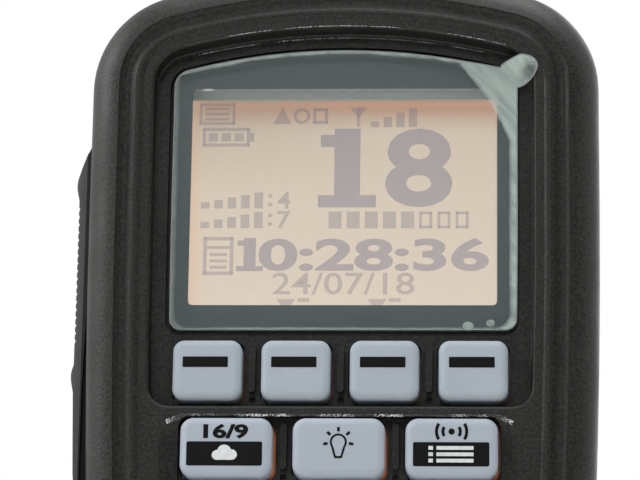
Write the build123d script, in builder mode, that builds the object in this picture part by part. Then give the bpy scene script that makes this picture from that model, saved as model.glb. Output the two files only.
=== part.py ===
from build123d import *
import os
from math import radians, sin, sqrt

# Full-function handset of a fixed-mount VHF marine radio, in millimetres.
#
# The handset stands on its cord end. The origin is in the middle of the flat bottom face, on the
# plane where the two covers meet. +Z runs up along the handset, the display and the keys face -Y,
# and +X is to the right as the user sees them. Depths "ahead" are measured from the parting plane
# towards the front, so a negative one lies in the rear cover.

# ------------------------------------------------------------------ housing outline, front view
height = 152.0
level = height / 152.0  # heights above the foot are given for a housing 152 mm tall
half_width = 35.0
crown_r = 97.0          # the wide arch of the top
shoulder_r = 14.0       # its two corners
flank_top = 118.0 * level   # below this the sides draw in, on one long arc each
flank_r = 1000.0
foot_r = 12.0

# ------------------------------------------------------------------ front cover
face = 13.0             # front face ahead of the parting plane
wall = 2.2
front_wall = 2.4
side_rise = 7.6         # straight part of the side wall, up to the lever's opening and past it
bevel_in = 4.2          # the rounded bevel ends this far inside the outline, at its crest
valley_in = 5.45        # bottom of the soft valley that follows it
valley_deep = 0.6
bead_in = 6.8           # crest of the bead on the valley's inner side
step_in = 7.6           # foot of the bead, where the sunk face begins
step_deep = 0.35
step_over = 0.4         # the two cuts of the sunk face overlap by this much
edge_r = 0.45           # rounded edge between the sunk face and the display well
seam = 0.35             # rebate that shows as the line between the covers

# ------------------------------------------------------------------ display well and window
well_inset = 9.0        # from the housing outline
well_bottom = 90.1 * level
well_corner = 2.8
well_floor = 9.6        # front of the floor, ahead of the parting plane
root_r = 0.35           # hollow round at the foot of the well's wall
lens_seat = 8.6         # the window lies this far down, in a recess in the floor
lens_gap = 0.45         # slit round the window
floor_t = 1.6
tub_wall = 1.4
lens_inset = 11.4       # from the housing outline
lens_bottom = 100.8 * level
lens_t = 1.4
lens_corner = 1.5
tape_t = 0.2            # adhesive frame under the window
tape_in = 0.15          # tape and film end this far inside the window
film_t = 0.12           # clear protective film, still on the window
tab_r = 2.1             # pull tab at the film's upper right corner
view_w, view_h = 1.2 * half_width, 30.6 * level     # clear area inside the printed border
view_z = 120.0 * level
view_gap = 0.6          # the hole in the well floor is larger than the view all round

# ------------------------------------------------------------------ keys
soft_pitch = 0.34 * half_width
soft_space = 2.6        # between two keys of a row
soft_w, soft_h, soft_r = soft_pitch - soft_space, 8.2, 1.55
soft_z = 95.05 * level
soft_top = 12.6         # key tops ahead of the parting plane
pad_pitch, pad_drop = 15.0 / 35.0 * half_width, 10.3
pad_space = 2.7
pad_w, pad_h, pad_r = pad_pitch - pad_space, 8.0, 1.75
pad_z = 84.4 * level    # upper row of the three
pad_top = 13.5
pad_floor = 10.0        # front of the keypad well's floor
pad_margin = 0.1        # well edge round the key holes
key_gap = 0.3
key_lip, key_lip_t = 0.6, 0.8  # flange behind the floor
key_lip_gap = 0.3
key_edge = 1.05
dish_in, dish_deep = 2.5, 1.0   # soft dish round the keypad well
pad_lip = 0.3           # the dish reaches this far above the keypad well
rib_w, rib_h = 0.9, 1.2         # rounded rib between two keys
pin_hole_r = 0.45

# ------------------------------------------------------------------ board, display stack, membrane
board_t = 1.6
board_front = 1.2       # board's front face, ahead of the parting plane
board_half, board_low, board_high = half_width - 10.6, 51.5 * level, 143.0 * level
board_corner = 6.0
lcd_front, lcd_t = 5.4, 1.8
lcd_half, lcd_low, lcd_high = view_w / 2 + 1.1, 103.7 * level, 136.3 * level
lcd_active_top = 134.7 * level
guide_t = 2.2
frame_wall, frame_lip = 1.3, 0.3
membrane_front, membrane_t = 4.9, 1.0
membrane_margin = 1.6
pip_r = 1.3
dome_r, dome_t = 2.4, 0.35
shield_h, shield_d, shield_t, shield_z = 40.0, 4.2, 0.4, 107.0 * level
shield_free = 1.3       # clear of the talk switch
chip, chip_t = 14.0, 1.4
board_screw_x = board_half - 4.4
board_screw_low, board_screw_high = board_low + 2.9, board_high - 2.4
board_boss_r = 2.3
board_screw_r, board_head_t, board_bite = 1.0, 1.3, 4.0

# ------------------------------------------------------------------ speaker and microphone
grille_z, grille_r = 30.5 * level, 17.0
slot_w, slot_pitch = 1.7, 3.4
speaker_r, speaker_rim, speaker_deep = 18.4, 2.0, 6.2
basket_t, basket_edge = 0.8, 1.0
magnet_r, magnet_t = 9.5, 5.4
mesh_t = 0.3
cone_t, surround = 0.4, 2.0
cone_deep, cone_free = 3.3, 0.3
cap_r, cap_rise = 5.5, 1.2
mic_x, mic_z, mic_r, mic_t = -18.5, 12.2 * level, 3.0, 2.6
mic_hole_r = 0.9
boot_t = 1.1

# ------------------------------------------------------------------ rear cover
back_mid, back_end = 20.0, 16.5     # depth of the rear cover at mid height and at its two ends
back_edge_r = 4.5
cover_screw = (
    (half_width - 6.4, 136.8 * level),
    (half_width - 13.0, 22.0 * level),
)
screw_r, screw_head_r, screw_head_t = 1.5, 2.8, 2.0
boss_r = 4.0
screw_free = 0.2        # clearance round a screw and its head
screw_bite = 5.6        # how far a cover screw reaches into the front cover
drive_slot = 0.8
drive_reach = 1.4       # length of the slots in a screw's head, in head radii

# ------------------------------------------------------------------ talk lever on the left side
bay_half = 7.5          # the lever's opening, to both sides of the parting plane
bay_low, bay_high = 69.0 * level, 128.6 * level
bay_floor = half_width - 7.4    # distance of the opening's floor from the middle
lever_gap = 0.3
lever_inner = half_width - 3.4
pivot_x, pivot_z, pivot_r = half_width - 4.6, bay_low + 4.6, 1.0
knuckle_r = 2.2
pivot_grip = 2.0
run_fit = 0.05
ridge_up, ridge_low = 123.4 * level, 96.3 * level   # tips of the ridges that frame the thumb rest
ridge_reach = half_width + 2.8
ridge_step = 0.85       # the thumb rest between them lies this much lower
ridge_rise, ridge_fall = 0.9, 2.9   # run of a ridge's steep side and of its long side
lever_head_run = 3.4    # run of the slope at the lever's upper end
lever_foot_run, lever_foot_in = 4.0, 1.2    # and at its foot
lever_tail_run, lever_tail_in = 13.0, 0.5
lever_edge = 0.4        # the slopes end this far outside the housing
rib_pitch, rib_count, rib_deep = 1.1, 18, 0.3
lever_angle = 2.0
lever_crown_low = 0.6   # the lever stands proud by this much at its front and rear edges
rebate_deep, rebate_high = 1.2, 106.0 * level   # slit between the lever's lower part and the housing
plunger_r, plunger_z, plunger_back = 1.0, 112.0 * level, 4.6
plunger_head = 1.6      # radius of its head, in plunger radii

# ------------------------------------------------------------------ hang-up button on the back
stud_z = 112.0 * level
stud_head_r, stud_head_t = 8.5, 2.6
stud_neck_r, stud_neck_t = 4.0, 2.6
stud_foot_r, stud_foot_t = 6.0, 1.0
stud_pad_r, stud_pad_rise = 9.5, 1.0
stud_screw_r, stud_screw_bite = 1.2, 4.0

# ------------------------------------------------------------------ distress button and its lid
lid_w, lid_h, lid_t = 16.4, 18.6, 2.2
lid_edge, lid_grip = 0.7, 0.8
coil_room, coil_pitch, coil_wire_r = 5.2, 1.5, 0.3
lid_gap = 0.35
lid_low = 60.9 * level
plinth_rise = 0.8
plinth_wall = 1.8
pocket_deep = 5.2
hinge_r, hinge_drop, hinge_in = 0.8, 1.35, 2.0
barrel_r = 1.45
button_r, button_rise, button_travel = 4.0, 2.0, 1.0
button_flange, button_flange_t = 0.9, 0.9
button_stem_r = 1.5
switch_w, switch_t = 6.0, 3.6

# ------------------------------------------------------------------ cord inlet
inlet_y = 6.3
inlet_r = 2.9
gland_r, gland_flange = 3.9, 1.4
gland_out_t, gland_in_t, gland_len = 1.0, 1.6, 9.0
socket_w, socket_h, socket_d = 10.0, 6.0, 5.0
socket_x, socket_z = 14.0, 62.0 * level
socket_hollow = 0.7     # share of its depth that is open

# ------------------------------------------------------------------ cover seal
seal_inset, seal_w, seal_t = 0.75, 0.8, 1.0


# ================================================================== shared shapes
def ahead(depth):
    """Plane parallel to the parting plane, looking out of the front."""
    return Plane.XZ.offset(depth)


def half_outline(plane=Plane.XY):
    """Right half of the housing outline, from the top of the crown to the middle of the foot."""
    crown_z = height - crown_r
    shoulder_x = half_width - shoulder_r
    shoulder_z = crown_z + sqrt((crown_r - shoulder_r) ** 2 - shoulder_x**2)
    out = crown_r / (crown_r - shoulder_r)
    crown_end = (shoulder_x * out, crown_z + (shoulder_z - crown_z) * out)
    flank_x = half_width - flank_r
    reach = flank_r - foot_r
    foot_x = flank_x + sqrt(reach**2 - (flank_top - foot_r) ** 2)
    out = flank_r / reach
    flank_end = (flank_x + (foot_x - flank_x) * out, flank_top + (foot_r - flank_top) * out)
    with BuildLine(plane, mode=Mode.PRIVATE) as path:
        crown = TangentArc((0, height), crown_end, tangent=(1, 0))
        shoulder = TangentArc(crown @ 1, (half_width, shoulder_z), tangent=crown % 1)
        side = Line(shoulder @ 1, (half_width, flank_top))
        flank = TangentArc(side @ 1, flank_end, tangent=side % 1)
        foot = TangentArc(flank @ 1, (foot_x, 0), tangent=flank % 1)
        Line(foot @ 1, (0, 0))
    return path.line


def outline(inset=0.0):
    """Housing outline as a face, moved inwards all round."""
    with BuildSketch(mode=Mode.PRIVATE) as shape:
        with BuildLine():
            add(half_outline())
            mirror(about=Plane.YZ)
        make_face()
        if inset:
            offset(amount=-inset)
    return shape.sketch


def arched(inset, bottom, corner):
    """Top of the outline, moved inwards and cut off straight at the bottom."""
    with BuildSketch(mode=Mode.PRIVATE) as shape:
        add(outline(inset))
        with Locations((0, bottom)):
            Rectangle(2 * half_width, height, align=(Align.CENTER, Align.MIN), mode=Mode.INTERSECT)
        fillet(shape.vertices().group_by(Axis.Y)[0], radius=corner)
    return shape.sketch


def inside(inset):
    """Outline that also keeps the inset clear of the talk lever's opening."""
    with BuildSketch(mode=Mode.PRIVATE) as shape:
        add(outline(inset))
        with Locations((-bay_floor + inset, (bay_low + bay_high) / 2)):
            Rectangle(
                half_width,
                bay_high - bay_low + 2 * inset,
                align=(Align.MAX, Align.CENTER),
                mode=Mode.SUBTRACT,
            )
    return shape.sketch


def back_depth(z):
    """Depth of the rear cover at a height, on the arc of its side view."""
    rise = back_mid - back_end
    half = height / 2
    back_r = (half**2 + rise**2) / (2 * rise)
    return back_mid - back_r + sqrt(back_r**2 - (z - half) ** 2)


def back_profile(inset):
    """Side view of the rear cover, its back moved inwards."""
    with BuildSketch(mode=Mode.PRIVATE) as shape:
        with BuildLine():
            back = ThreePointArc(
                (back_end - inset, 0), (back_mid - inset, height / 2), (back_end - inset, height)
            )
            Polyline(back @ 1, (0, height), (0, 0), back @ 0)
        make_face()
    return shape.sketch


def screw_seat(z):
    """Depth of the seat of a cover screw's head."""
    return back_depth(z) - screw_head_t - screw_free


def mirrored(points):
    """Each point and its mirror image across the handset's middle."""
    return [(side * x, z) for x, z in points for side in (1, -1)]


def soft_places():
    """Centres of the four keys under the display."""
    return [((i - 1.5) * soft_pitch, soft_z) for i in range(4)]


def pad_places():
    """Centres of the three rows of three keys, row by row from the top left."""
    return [((i - 1) * pad_pitch, pad_z - row * pad_drop) for row in range(3) for i in range(3)]


def key_hole(width, tall):
    """Size of the hole for a key."""
    return width + 2 * key_gap, tall + 2 * key_gap


def between(places, row_length):
    """Middles between neighbours in rows of keys."""
    rows = [places[i : i + row_length] for i in range(0, len(places), row_length)]
    return [((a[0] + b[0]) / 2, a[1]) for row in rows for a, b in zip(row, row[1:])]


floor_back = lens_seat - floor_t
rest_reach = ridge_reach - ridge_step
shield_w = 2 * (board_half - switch_t - shield_free)
soft_hole = key_hole(soft_w, soft_h)
pad_hole = key_hole(pad_w, pad_h)
pad_mid_z = pad_z - pad_drop
sunk_face = face - step_deep
pad_well = (
    2 * pad_pitch + pad_hole[0] + 2 * pad_margin,
    2 * pad_drop + pad_hole[1] + 2 * pad_margin,
)
board_screw_places = mirrored(((board_screw_x, board_screw_low), (board_screw_x, board_screw_high)))
cover_screw_places = mirrored(cover_screw)
board_back = board_front - board_t
lid_z = lid_low + lid_h / 2
lid_back = back_depth(lid_z) + plinth_rise
hinge_z = lid_low + lid_h - hinge_drop
hinge_y = lid_back - hinge_in
pocket_w, pocket_h = lid_w + 2 * lid_gap, lid_h + 2 * lid_gap + hinge_drop / 2
pocket_z = lid_low - lid_gap + pocket_h / 2
pocket_floor = lid_back - pocket_deep
button_z = lid_low + lid_h * 0.42
stud_back = back_depth(stud_z) + stud_pad_rise

os.makedirs("parts", exist_ok=True)

# ================================================================== front cover
with BuildPart() as front_cover:
    with BuildSketch(Plane.XZ):
        add(outline())
    extrude(amount=face)

    # The rounded bevel, the soft valley and the bead run all round the face, which lies a step
    # lower inside them.
    with BuildSketch(Plane.YZ, mode=Mode.PRIVATE) as rim_section:
        with BuildLine():
            sunk = step_deep - face
            far = -face - wall
            bevel = TangentArc(
                (-side_rise, height), (-face, height - bevel_in), tangent=(-1, 0)
            )
            middle = (valley_in + bead_in) / 2
            valley = ThreePointArc(
                bevel @ 1,
                (valley_deep - face, height - valley_in),
                (valley_deep / 2 - face, height - middle),
            )
            bead = ThreePointArc(
                valley @ 1,
                (-face, height - bead_in),
                (sunk, height - step_in),
            )
            Polyline(
                bead @ 1,
                (sunk, height - step_in - 2 * step_over),
                (far, height - step_in - 2 * step_over),
                (far, height + wall),
                (-side_rise, height + wall),
                bevel @ 0,
            )
        make_face()
    with BuildLine(mode=Mode.PRIVATE) as rim_path:
        add(half_outline(Plane.XZ))
    rim = sweep(rim_section.sketch, path=rim_path.wires()[0], mode=Mode.PRIVATE)
    add(rim, mode=Mode.SUBTRACT)
    mirror(rim, about=Plane.YZ, mode=Mode.SUBTRACT)
    with BuildSketch(ahead(face - step_deep)):
        add(outline(step_in + step_over))
    extrude(amount=step_deep, mode=Mode.SUBTRACT)

    # Hollow, in two steps that follow the bevel.
    with BuildSketch(Plane.XZ):
        add(inside(wall))
    extrude(amount=side_rise + 1, mode=Mode.SUBTRACT)
    with BuildSketch(ahead(side_rise + 1)):
        add(inside(2 * wall))
    extrude(amount=face - front_wall - side_rise - 1, mode=Mode.SUBTRACT)

    # Tubs behind the display well and behind the keypad well, with one flat back.
    with BuildSketch(ahead(floor_back)):
        add(arched(well_inset - tub_wall, well_bottom - tub_wall, well_corner))
        with Locations((0, pad_mid_z)):
            RectangleRounded(pad_well[0] + 2 * tub_wall, pad_well[1] + 2 * tub_wall, pad_r + tub_wall)
    extrude(amount=face - front_wall - floor_back)

    # The display well with its rounded edge, and the recess for the window.
    with BuildSketch(ahead(well_floor)):
        add(arched(well_inset, well_bottom, well_corner))
    extrude(amount=face, mode=Mode.SUBTRACT)
    well_edges = front_cover.edges(Select.LAST).group_by(Axis.Y)
    fillet(well_edges[0], radius=edge_r)
    fillet(front_cover.edges().filter_by_position(Axis.Y, -well_floor, -well_floor), radius=root_r)
    with BuildSketch(ahead(lens_seat)):
        add(
            arched(lens_inset - lens_gap, lens_bottom - lens_gap, lens_corner + lens_gap),
        )
    extrude(amount=well_floor - lens_seat, mode=Mode.SUBTRACT)

    # The keypad well, and the soft dish that it lies in.
    with BuildSketch(ahead(pad_floor)):
        with Locations((0, pad_mid_z)):
            RectangleRounded(*pad_well, pad_r)
    extrude(amount=face, mode=Mode.SUBTRACT)
    dish_top = pad_mid_z + pad_well[1] / 2 + pad_lip - dish_in
    dish_h = pad_well[1] + pad_lip - dish_in
    for depth, grow in ((sunk_face - dish_deep, 0), (sunk_face, dish_in)):
        with BuildSketch(ahead(depth)):
            with Locations((0, dish_top - dish_h / 2)):
                RectangleRounded(pad_well[0] + 2 * grow, dish_h + 2 * grow, pad_r + grow)
    loft(mode=Mode.SUBTRACT)

    # Window opening and key holes.
    with BuildSketch(ahead(floor_back)):
        with Locations((0, view_z)):
            RectangleRounded(view_w + 2 * view_gap, view_h + 2 * view_gap, view_gap)
        with Locations(*soft_places()):
            RectangleRounded(*soft_hole, soft_r)
        with Locations(*pad_places()):
            RectangleRounded(*pad_hole, pad_r)
    extrude(amount=face, mode=Mode.SUBTRACT)

    # A rounded rib and a small blind hole on the web between neighbouring keys.
    for places, row_length, front, tall in (
        (soft_places(), 4, well_floor, soft_h),
        (pad_places(), 3, pad_floor, pad_h),
    ):
        with BuildSketch(ahead(front)):
            for x, z in between(places, row_length):
                with Locations((x, z + rib_w / 2)):
                    SlotOverall(tall - 2 * rib_w, rib_w, rotation=90)
        extrude(amount=rib_h)
        with BuildSketch(ahead(front - floor_t / 2)):
            for x, z in between(places, row_length):
                with Locations((x, z - tall / 2 + rib_w / 2)):
                    Circle(pin_hole_r)
        extrude(amount=floor_t / 2, mode=Mode.SUBTRACT)

    # Bosses for the cover screws and for the board. They end in the floor of the display's tub,
    # and beside the tub they go on to the front wall.
    for start, places, radius, hole_r, bite in (
        (0, cover_screw_places, boss_r, screw_r, screw_bite),
        (board_front, board_screw_places, board_boss_r, board_screw_r, board_bite),
    ):
        with BuildSketch(ahead(start)):
            with Locations(*places):
                Circle(radius)
        extrude(amount=floor_back + floor_t / 2 - start)
        with BuildSketch(ahead(start)):
            with Locations(*places):
                Circle(radius)
            add(
                arched(well_inset - tub_wall / 2, well_bottom - tub_wall / 2, well_corner),
                mode=Mode.SUBTRACT,
            )
        extrude(amount=face - front_wall - start)
        with BuildSketch(ahead(start)):
            with Locations(*places):
                Circle(hole_r + run_fit)
        extrude(amount=bite, mode=Mode.SUBTRACT)

    # Speaker grille: slots inside a circle, and the microphone's hole.
    rows = int((grille_r - slot_w) / slot_pitch)
    with BuildSketch(ahead(face - front_wall)):
        for row in range(-rows, rows + 1):
            drop = row * slot_pitch
            chord = 2 * sqrt(grille_r**2 - (abs(drop) + slot_w / 2) ** 2)
            with Locations((0, grille_z + drop)):
                SlotOverall(chord, slot_w)
        with Locations((mic_x, mic_z)):
            Circle(mic_hole_r)
    extrude(amount=face, mode=Mode.SUBTRACT)

    # Opening and pivot hole for the talk lever.
    with BuildSketch(Plane.XZ):
        with Locations((-bay_floor, (bay_low + bay_high) / 2)):
            Rectangle(half_width, bay_high - bay_low, align=(Align.MAX, Align.CENTER))
    extrude(amount=bay_half, mode=Mode.SUBTRACT)
    with BuildSketch(ahead(bay_half)):
        with Locations((-pivot_x, pivot_z)):
            Circle(pivot_r + run_fit)
    extrude(amount=pivot_grip, mode=Mode.SUBTRACT)

    # Groove for the seal.
    with BuildSketch(Plane.XZ):
        add(inside(seal_inset))
        add(inside(seal_inset + seal_w), mode=Mode.SUBTRACT)
    extrude(amount=seal_t / 2, mode=Mode.SUBTRACT)

front_cover.part.label = "front_cover"
export_step(front_cover.part, "parts/front_cover.step")

# ================================================================== rear cover
with BuildPart() as rear_cover:
    with BuildSketch(ahead(-back_mid)):
        add(outline())
    extrude(amount=back_mid)
    with BuildSketch(Plane.YZ):
        add(back_profile(0))
    extrude(amount=half_width, both=True, mode=Mode.INTERSECT)
    fillet(rear_cover.faces().sort_by(Axis.Y)[-1].edges(), radius=back_edge_r)

    # Raised seats on the back for the hang-up button and for the distress lid.
    with BuildSketch(ahead(-stud_back)):
        with Locations((0, stud_z)):
            Circle(stud_pad_r)
    extrude(amount=wall)
    plinth = (pocket_w + 2 * plinth_wall, pocket_h + 2 * plinth_wall)
    with BuildSketch(ahead(-lid_back)):
        with Locations((0, pocket_z)):
            RectangleRounded(*plinth, plinth_wall)
    extrude(amount=wall)
    raised = rear_cover.faces().filter_by(Axis.Y).sort_by(Axis.Y)[-2:]
    chamfer(raised.edges(), length=plinth_rise / 2)

    # Hollow, in two steps that follow the rounded edge, and parallel to the back.
    step = back_end - back_edge_r - wall
    with BuildSketch(ahead(-step), mode=Mode.PRIVATE) as wide:
        add(inside(wall))
    with BuildSketch(ahead(-back_mid), mode=Mode.PRIVATE) as narrow:
        add(outline(wall + back_edge_r / 2))
    hollow = extrude(wide.sketch, amount=step, mode=Mode.PRIVATE)
    deeper = extrude(narrow.sketch, amount=back_mid - step, mode=Mode.PRIVATE)
    with BuildSketch(Plane.YZ, mode=Mode.PRIVATE) as hollow_side:
        add(back_profile(wall))
    limit = extrude(hollow_side.sketch, amount=half_width, both=True, mode=Mode.PRIVATE)
    add((hollow + deeper) & limit, mode=Mode.SUBTRACT)

    # Pocket under the distress lid, with the button's hole in its floor.
    with BuildSketch(ahead(-lid_back + 1)):
        with Locations((0, pocket_z)):
            RectangleRounded(*plinth, plinth_wall)
    extrude(amount=pocket_deep + floor_t - 1)
    with BuildSketch(ahead(-lid_back)):
        with Locations((0, pocket_z)):
            Rectangle(pocket_w, pocket_h)
    extrude(amount=pocket_deep, mode=Mode.SUBTRACT)
    with BuildSketch(ahead(-pocket_floor)):
        with Locations((0, button_z)):
            Circle(button_r + key_gap)
    extrude(amount=floor_t, mode=Mode.SUBTRACT)
    with Locations((0, hinge_y, hinge_z)):
        Cylinder(hinge_r, pocket_w + plinth_wall, rotation=(0, 90, 0), mode=Mode.SUBTRACT)

    # Seat and screw hole of the hang-up button.
    with BuildSketch(ahead(-stud_back)):
        with Locations((0, stud_z)):
            Circle(stud_foot_r + run_fit)
    extrude(amount=stud_foot_t, mode=Mode.SUBTRACT)
    stud_seat = stud_back - stud_foot_t - wall
    with BuildSketch(ahead(-stud_seat)):
        with Locations((0, stud_z)):
            Circle(2 * stud_screw_r + screw_free)
    extrude(amount=wall, mode=Mode.SUBTRACT)
    with BuildSketch(ahead(-stud_back)):
        with Locations((0, stud_z)):
            Circle(stud_screw_r + run_fit)
    extrude(amount=stud_foot_t + 2 * wall, mode=Mode.SUBTRACT)

    # Screw bosses, counterbored from the back.
    for x, z in cover_screw_places:
        with BuildSketch(ahead(-back_depth(z) + wall / 2)):
            with Locations((x, z)):
                Circle(boss_r)
        extrude(amount=back_depth(z) - wall / 2)
        with BuildSketch(ahead(-back_mid)):
            with Locations((x, z)):
                Circle(screw_head_r + screw_free)
        extrude(amount=back_mid - screw_seat(z), mode=Mode.SUBTRACT)
    with BuildSketch(ahead(-back_mid)):
        with Locations(*cover_screw_places):
            Circle(screw_r + screw_free)
    extrude(amount=back_mid, mode=Mode.SUBTRACT)

    # Opening, pivot hole and plunger hole for the talk lever.
    with BuildSketch(ahead(-bay_half)):
        with Locations((-bay_floor, (bay_low + bay_high) / 2)):
            Rectangle(half_width, bay_high - bay_low, align=(Align.MAX, Align.CENTER))
    extrude(amount=bay_half, mode=Mode.SUBTRACT)
    with BuildSketch(ahead(-bay_half - pivot_grip)):
        with Locations((-pivot_x, pivot_z)):
            Circle(pivot_r + run_fit)
    extrude(amount=pivot_grip, mode=Mode.SUBTRACT)
    with Locations((-bay_floor + wall / 2, plunger_back, plunger_z)):
        Cylinder(plunger_r + run_fit, 2 * wall, rotation=(0, 90, 0), mode=Mode.SUBTRACT)

    # Cord inlet in the bottom, counterbored for the gland's outer flange.
    with Locations((0, inlet_y, 0)):
        Cylinder(gland_r + run_fit, 4 * wall, mode=Mode.SUBTRACT)
        Cylinder(gland_r + gland_flange + run_fit, 2 * gland_out_t, mode=Mode.SUBTRACT)
    with Locations((0, inlet_y, wall)):
        Cylinder(
            gland_r + gland_flange + screw_free,
            gland_len,
            align=(Align.CENTER, Align.CENTER, Align.MIN),
            mode=Mode.SUBTRACT,
        )

    # Groove for the seal, and the rebate that shows as the seam.
    with BuildSketch(ahead(-seal_t / 2)):
        add(inside(seal_inset))
        add(inside(seal_inset + seal_w), mode=Mode.SUBTRACT)
    extrude(amount=seal_t / 2, mode=Mode.SUBTRACT)
    with BuildSketch(ahead(-seam)):
        add(outline())
        add(outline(seam), mode=Mode.SUBTRACT)
    extrude(amount=seam, mode=Mode.SUBTRACT)

rear_cover.part.label = "rear_cover"
export_step(rear_cover.part, "parts/rear_cover.step")

# ================================================================== cover seal and cover screws
with BuildPart() as cover_seal:
    with BuildSketch(ahead(run_fit - seal_t / 2)):
        add(inside(seal_inset + run_fit))
        add(inside(seal_inset + seal_w - run_fit), mode=Mode.SUBTRACT)
    extrude(amount=seal_t - 2 * run_fit)

cover_seal.part.label = "cover_seal"
export_step(cover_seal.part, "parts/cover_seal.step")

with BuildPart() as cover_screws:
    for x, z in cover_screw_places:
        with BuildSketch(ahead(-screw_seat(z) - screw_head_t)):
            with Locations((x, z)):
                Circle(screw_head_r)
        extrude(amount=screw_head_t)
        with BuildSketch(ahead(-screw_seat(z))):
            with Locations((x, z)):
                Circle(screw_r)
        extrude(amount=screw_seat(z) + screw_bite - 2 * run_fit)
        with BuildSketch(ahead(-screw_seat(z) - screw_head_t)):
            with Locations((x, z)):
                Rectangle(drive_reach * screw_head_r, drive_slot)
                Rectangle(drive_slot, drive_reach * screw_head_r)
        extrude(amount=screw_head_t / 2, mode=Mode.SUBTRACT)

cover_screws.part.label = "cover_screws"
export_step(cover_screws.part, "parts/cover_screws.step")

# ================================================================== window, its tape and its film
with BuildPart() as window_tape:
    with BuildSketch(ahead(lens_seat)):
        add(arched(lens_inset + tape_in, lens_bottom + tape_in, lens_corner))
        with Locations((0, view_z)):
            Rectangle(view_w + 4 * view_gap, view_h + 4 * view_gap, mode=Mode.SUBTRACT)
    extrude(amount=tape_t)

window_tape.part.label = "window_tape"
export_step(window_tape.part, "parts/window_tape.step")

lens_back = lens_seat + tape_t
with BuildPart() as display_window:
    with BuildSketch(ahead(lens_back)):
        add(arched(lens_inset, lens_bottom, lens_corner))
    extrude(amount=lens_t)
    chamfer(display_window.faces().sort_by(Axis.Y)[0].edges(), length=lens_t / 5)

display_window.part.label = "display_window"
export_step(display_window.part, "parts/display_window.step")

with BuildPart() as screen_film:
    with BuildSketch(ahead(lens_back + lens_t)) as film:
        add(arched(lens_inset + tape_in, lens_bottom + tape_in, lens_corner))
        rounds = film.sketch_local.edges().filter_by(GeomType.CIRCLE)
        corner = rounds.sort_by(Axis((0, 0, 0), (1, 1, 0)))[-1] @ 0.5
        with Locations(corner):
            Circle(tab_r)
    extrude(amount=film_t)

screen_film.part.label = "screen_film"
export_step(screen_film.part, "parts/screen_film.step")

# ================================================================== display stack
lcd_w, lcd_tall, lcd_z = 2 * lcd_half, lcd_high - lcd_low, (lcd_high + lcd_low) / 2
with BuildPart() as lcd_panel:
    with BuildSketch(ahead(lcd_front - lcd_t)):
        with Locations((0, lcd_z)):
            Rectangle(lcd_w, lcd_tall)
    extrude(amount=lcd_t)

lcd_panel.part.label = "lcd_panel"
export_step(lcd_panel.part, "parts/lcd_panel.step")

with BuildPart() as backlight_guide:
    with BuildSketch(ahead(lcd_front - lcd_t - guide_t)):
        with Locations((0, lcd_z)):
            Rectangle(lcd_w, lcd_tall)
    extrude(amount=guide_t)

backlight_guide.part.label = "backlight_guide"
export_step(backlight_guide.part, "parts/backlight_guide.step")

with BuildPart() as lcd_frame:
    with BuildSketch(ahead(board_front)):
        with Locations((0, lcd_z)):
            Rectangle(lcd_w + 2 * frame_wall, lcd_tall + 2 * frame_wall)
    extrude(amount=lcd_front + frame_lip - board_front)
    with BuildSketch(ahead(board_front)):
        with Locations((0, lcd_z)):
            Rectangle(lcd_w + run_fit, lcd_tall + run_fit)
    extrude(amount=lcd_front - board_front, mode=Mode.SUBTRACT)
    with BuildSketch(ahead(lcd_front)):
        with Locations((0, lcd_active_top)):
            Rectangle(
                lcd_w - frame_wall,
                lcd_active_top - lcd_low - frame_wall / 2,
                align=(Align.CENTER, Align.MAX),
            )
    extrude(amount=frame_lip, mode=Mode.SUBTRACT)

lcd_frame.part.label = "lcd_frame"
export_step(lcd_frame.part, "parts/lcd_frame.step")


# ================================================================== keys
flange_front = floor_back - key_lip_gap


def key_cap(place, width, tall, corner, top):
    """Key with rounded edges, and the flange that keeps it behind the cover."""
    hole = key_hole(width, tall)
    with BuildPart() as cap:
        with BuildSketch(ahead(flange_front)):
            with Locations(place):
                RectangleRounded(width, tall, corner)
        extrude(amount=top - flange_front)
        fillet(cap.faces().sort_by(Axis.Y)[0].edges(), radius=key_edge)
        with BuildSketch(ahead(flange_front - key_lip_t)):
            with Locations(place):
                RectangleRounded(hole[0] + 2 * key_lip, hole[1] + 2 * key_lip, corner)
        extrude(amount=key_lip_t)
    return cap.part


for number, place in enumerate(soft_places(), 1):
    soft_key = key_cap(place, soft_w, soft_h, soft_r, soft_top)
    soft_key.label = f"soft_key_{number}"
    export_step(soft_key, f"parts/soft_key_{number}.step")

pad_names = ("channel", "lamp", "menu", "clear", "up", "enter", "calling", "down", "power")
for name, place in zip(pad_names, pad_places()):
    pad_key = key_cap(place, pad_w, pad_h, pad_r, pad_top)
    pad_key.label = f"{name}_key"
    export_step(pad_key, f"parts/{name}_key.step")

# The rubber membrane under all the keys, with a pip over each dome on the board.
key_places = soft_places() + pad_places()
membrane_low = pad_mid_z - pad_well[1] / 2 - membrane_margin
membrane_high = soft_z + soft_hole[1] / 2 + membrane_margin
with BuildPart() as keypad_membrane:
    with BuildSketch(ahead(membrane_front - membrane_t)):
        with Locations((0, membrane_low)):
            RectangleRounded(
                pad_well[0] + 2 * membrane_margin,
                membrane_high - membrane_low,
                pad_r,
                align=(Align.CENTER, Align.MIN),
            )
    extrude(amount=membrane_t)
    with BuildSketch(ahead(board_front + dome_t + run_fit)):
        with Locations(*key_places):
            Circle(pip_r)
    extrude(amount=membrane_front - membrane_t - board_front - dome_t - run_fit)

keypad_membrane.part.label = "keypad_membrane"
export_step(keypad_membrane.part, "parts/keypad_membrane.step")

with BuildPart() as key_domes:
    with BuildSketch(ahead(board_front)):
        with Locations(*key_places):
            Circle(dome_r)
    extrude(amount=dome_t)

key_domes.part.label = "key_domes"
export_step(key_domes.part, "parts/key_domes.step")

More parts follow.
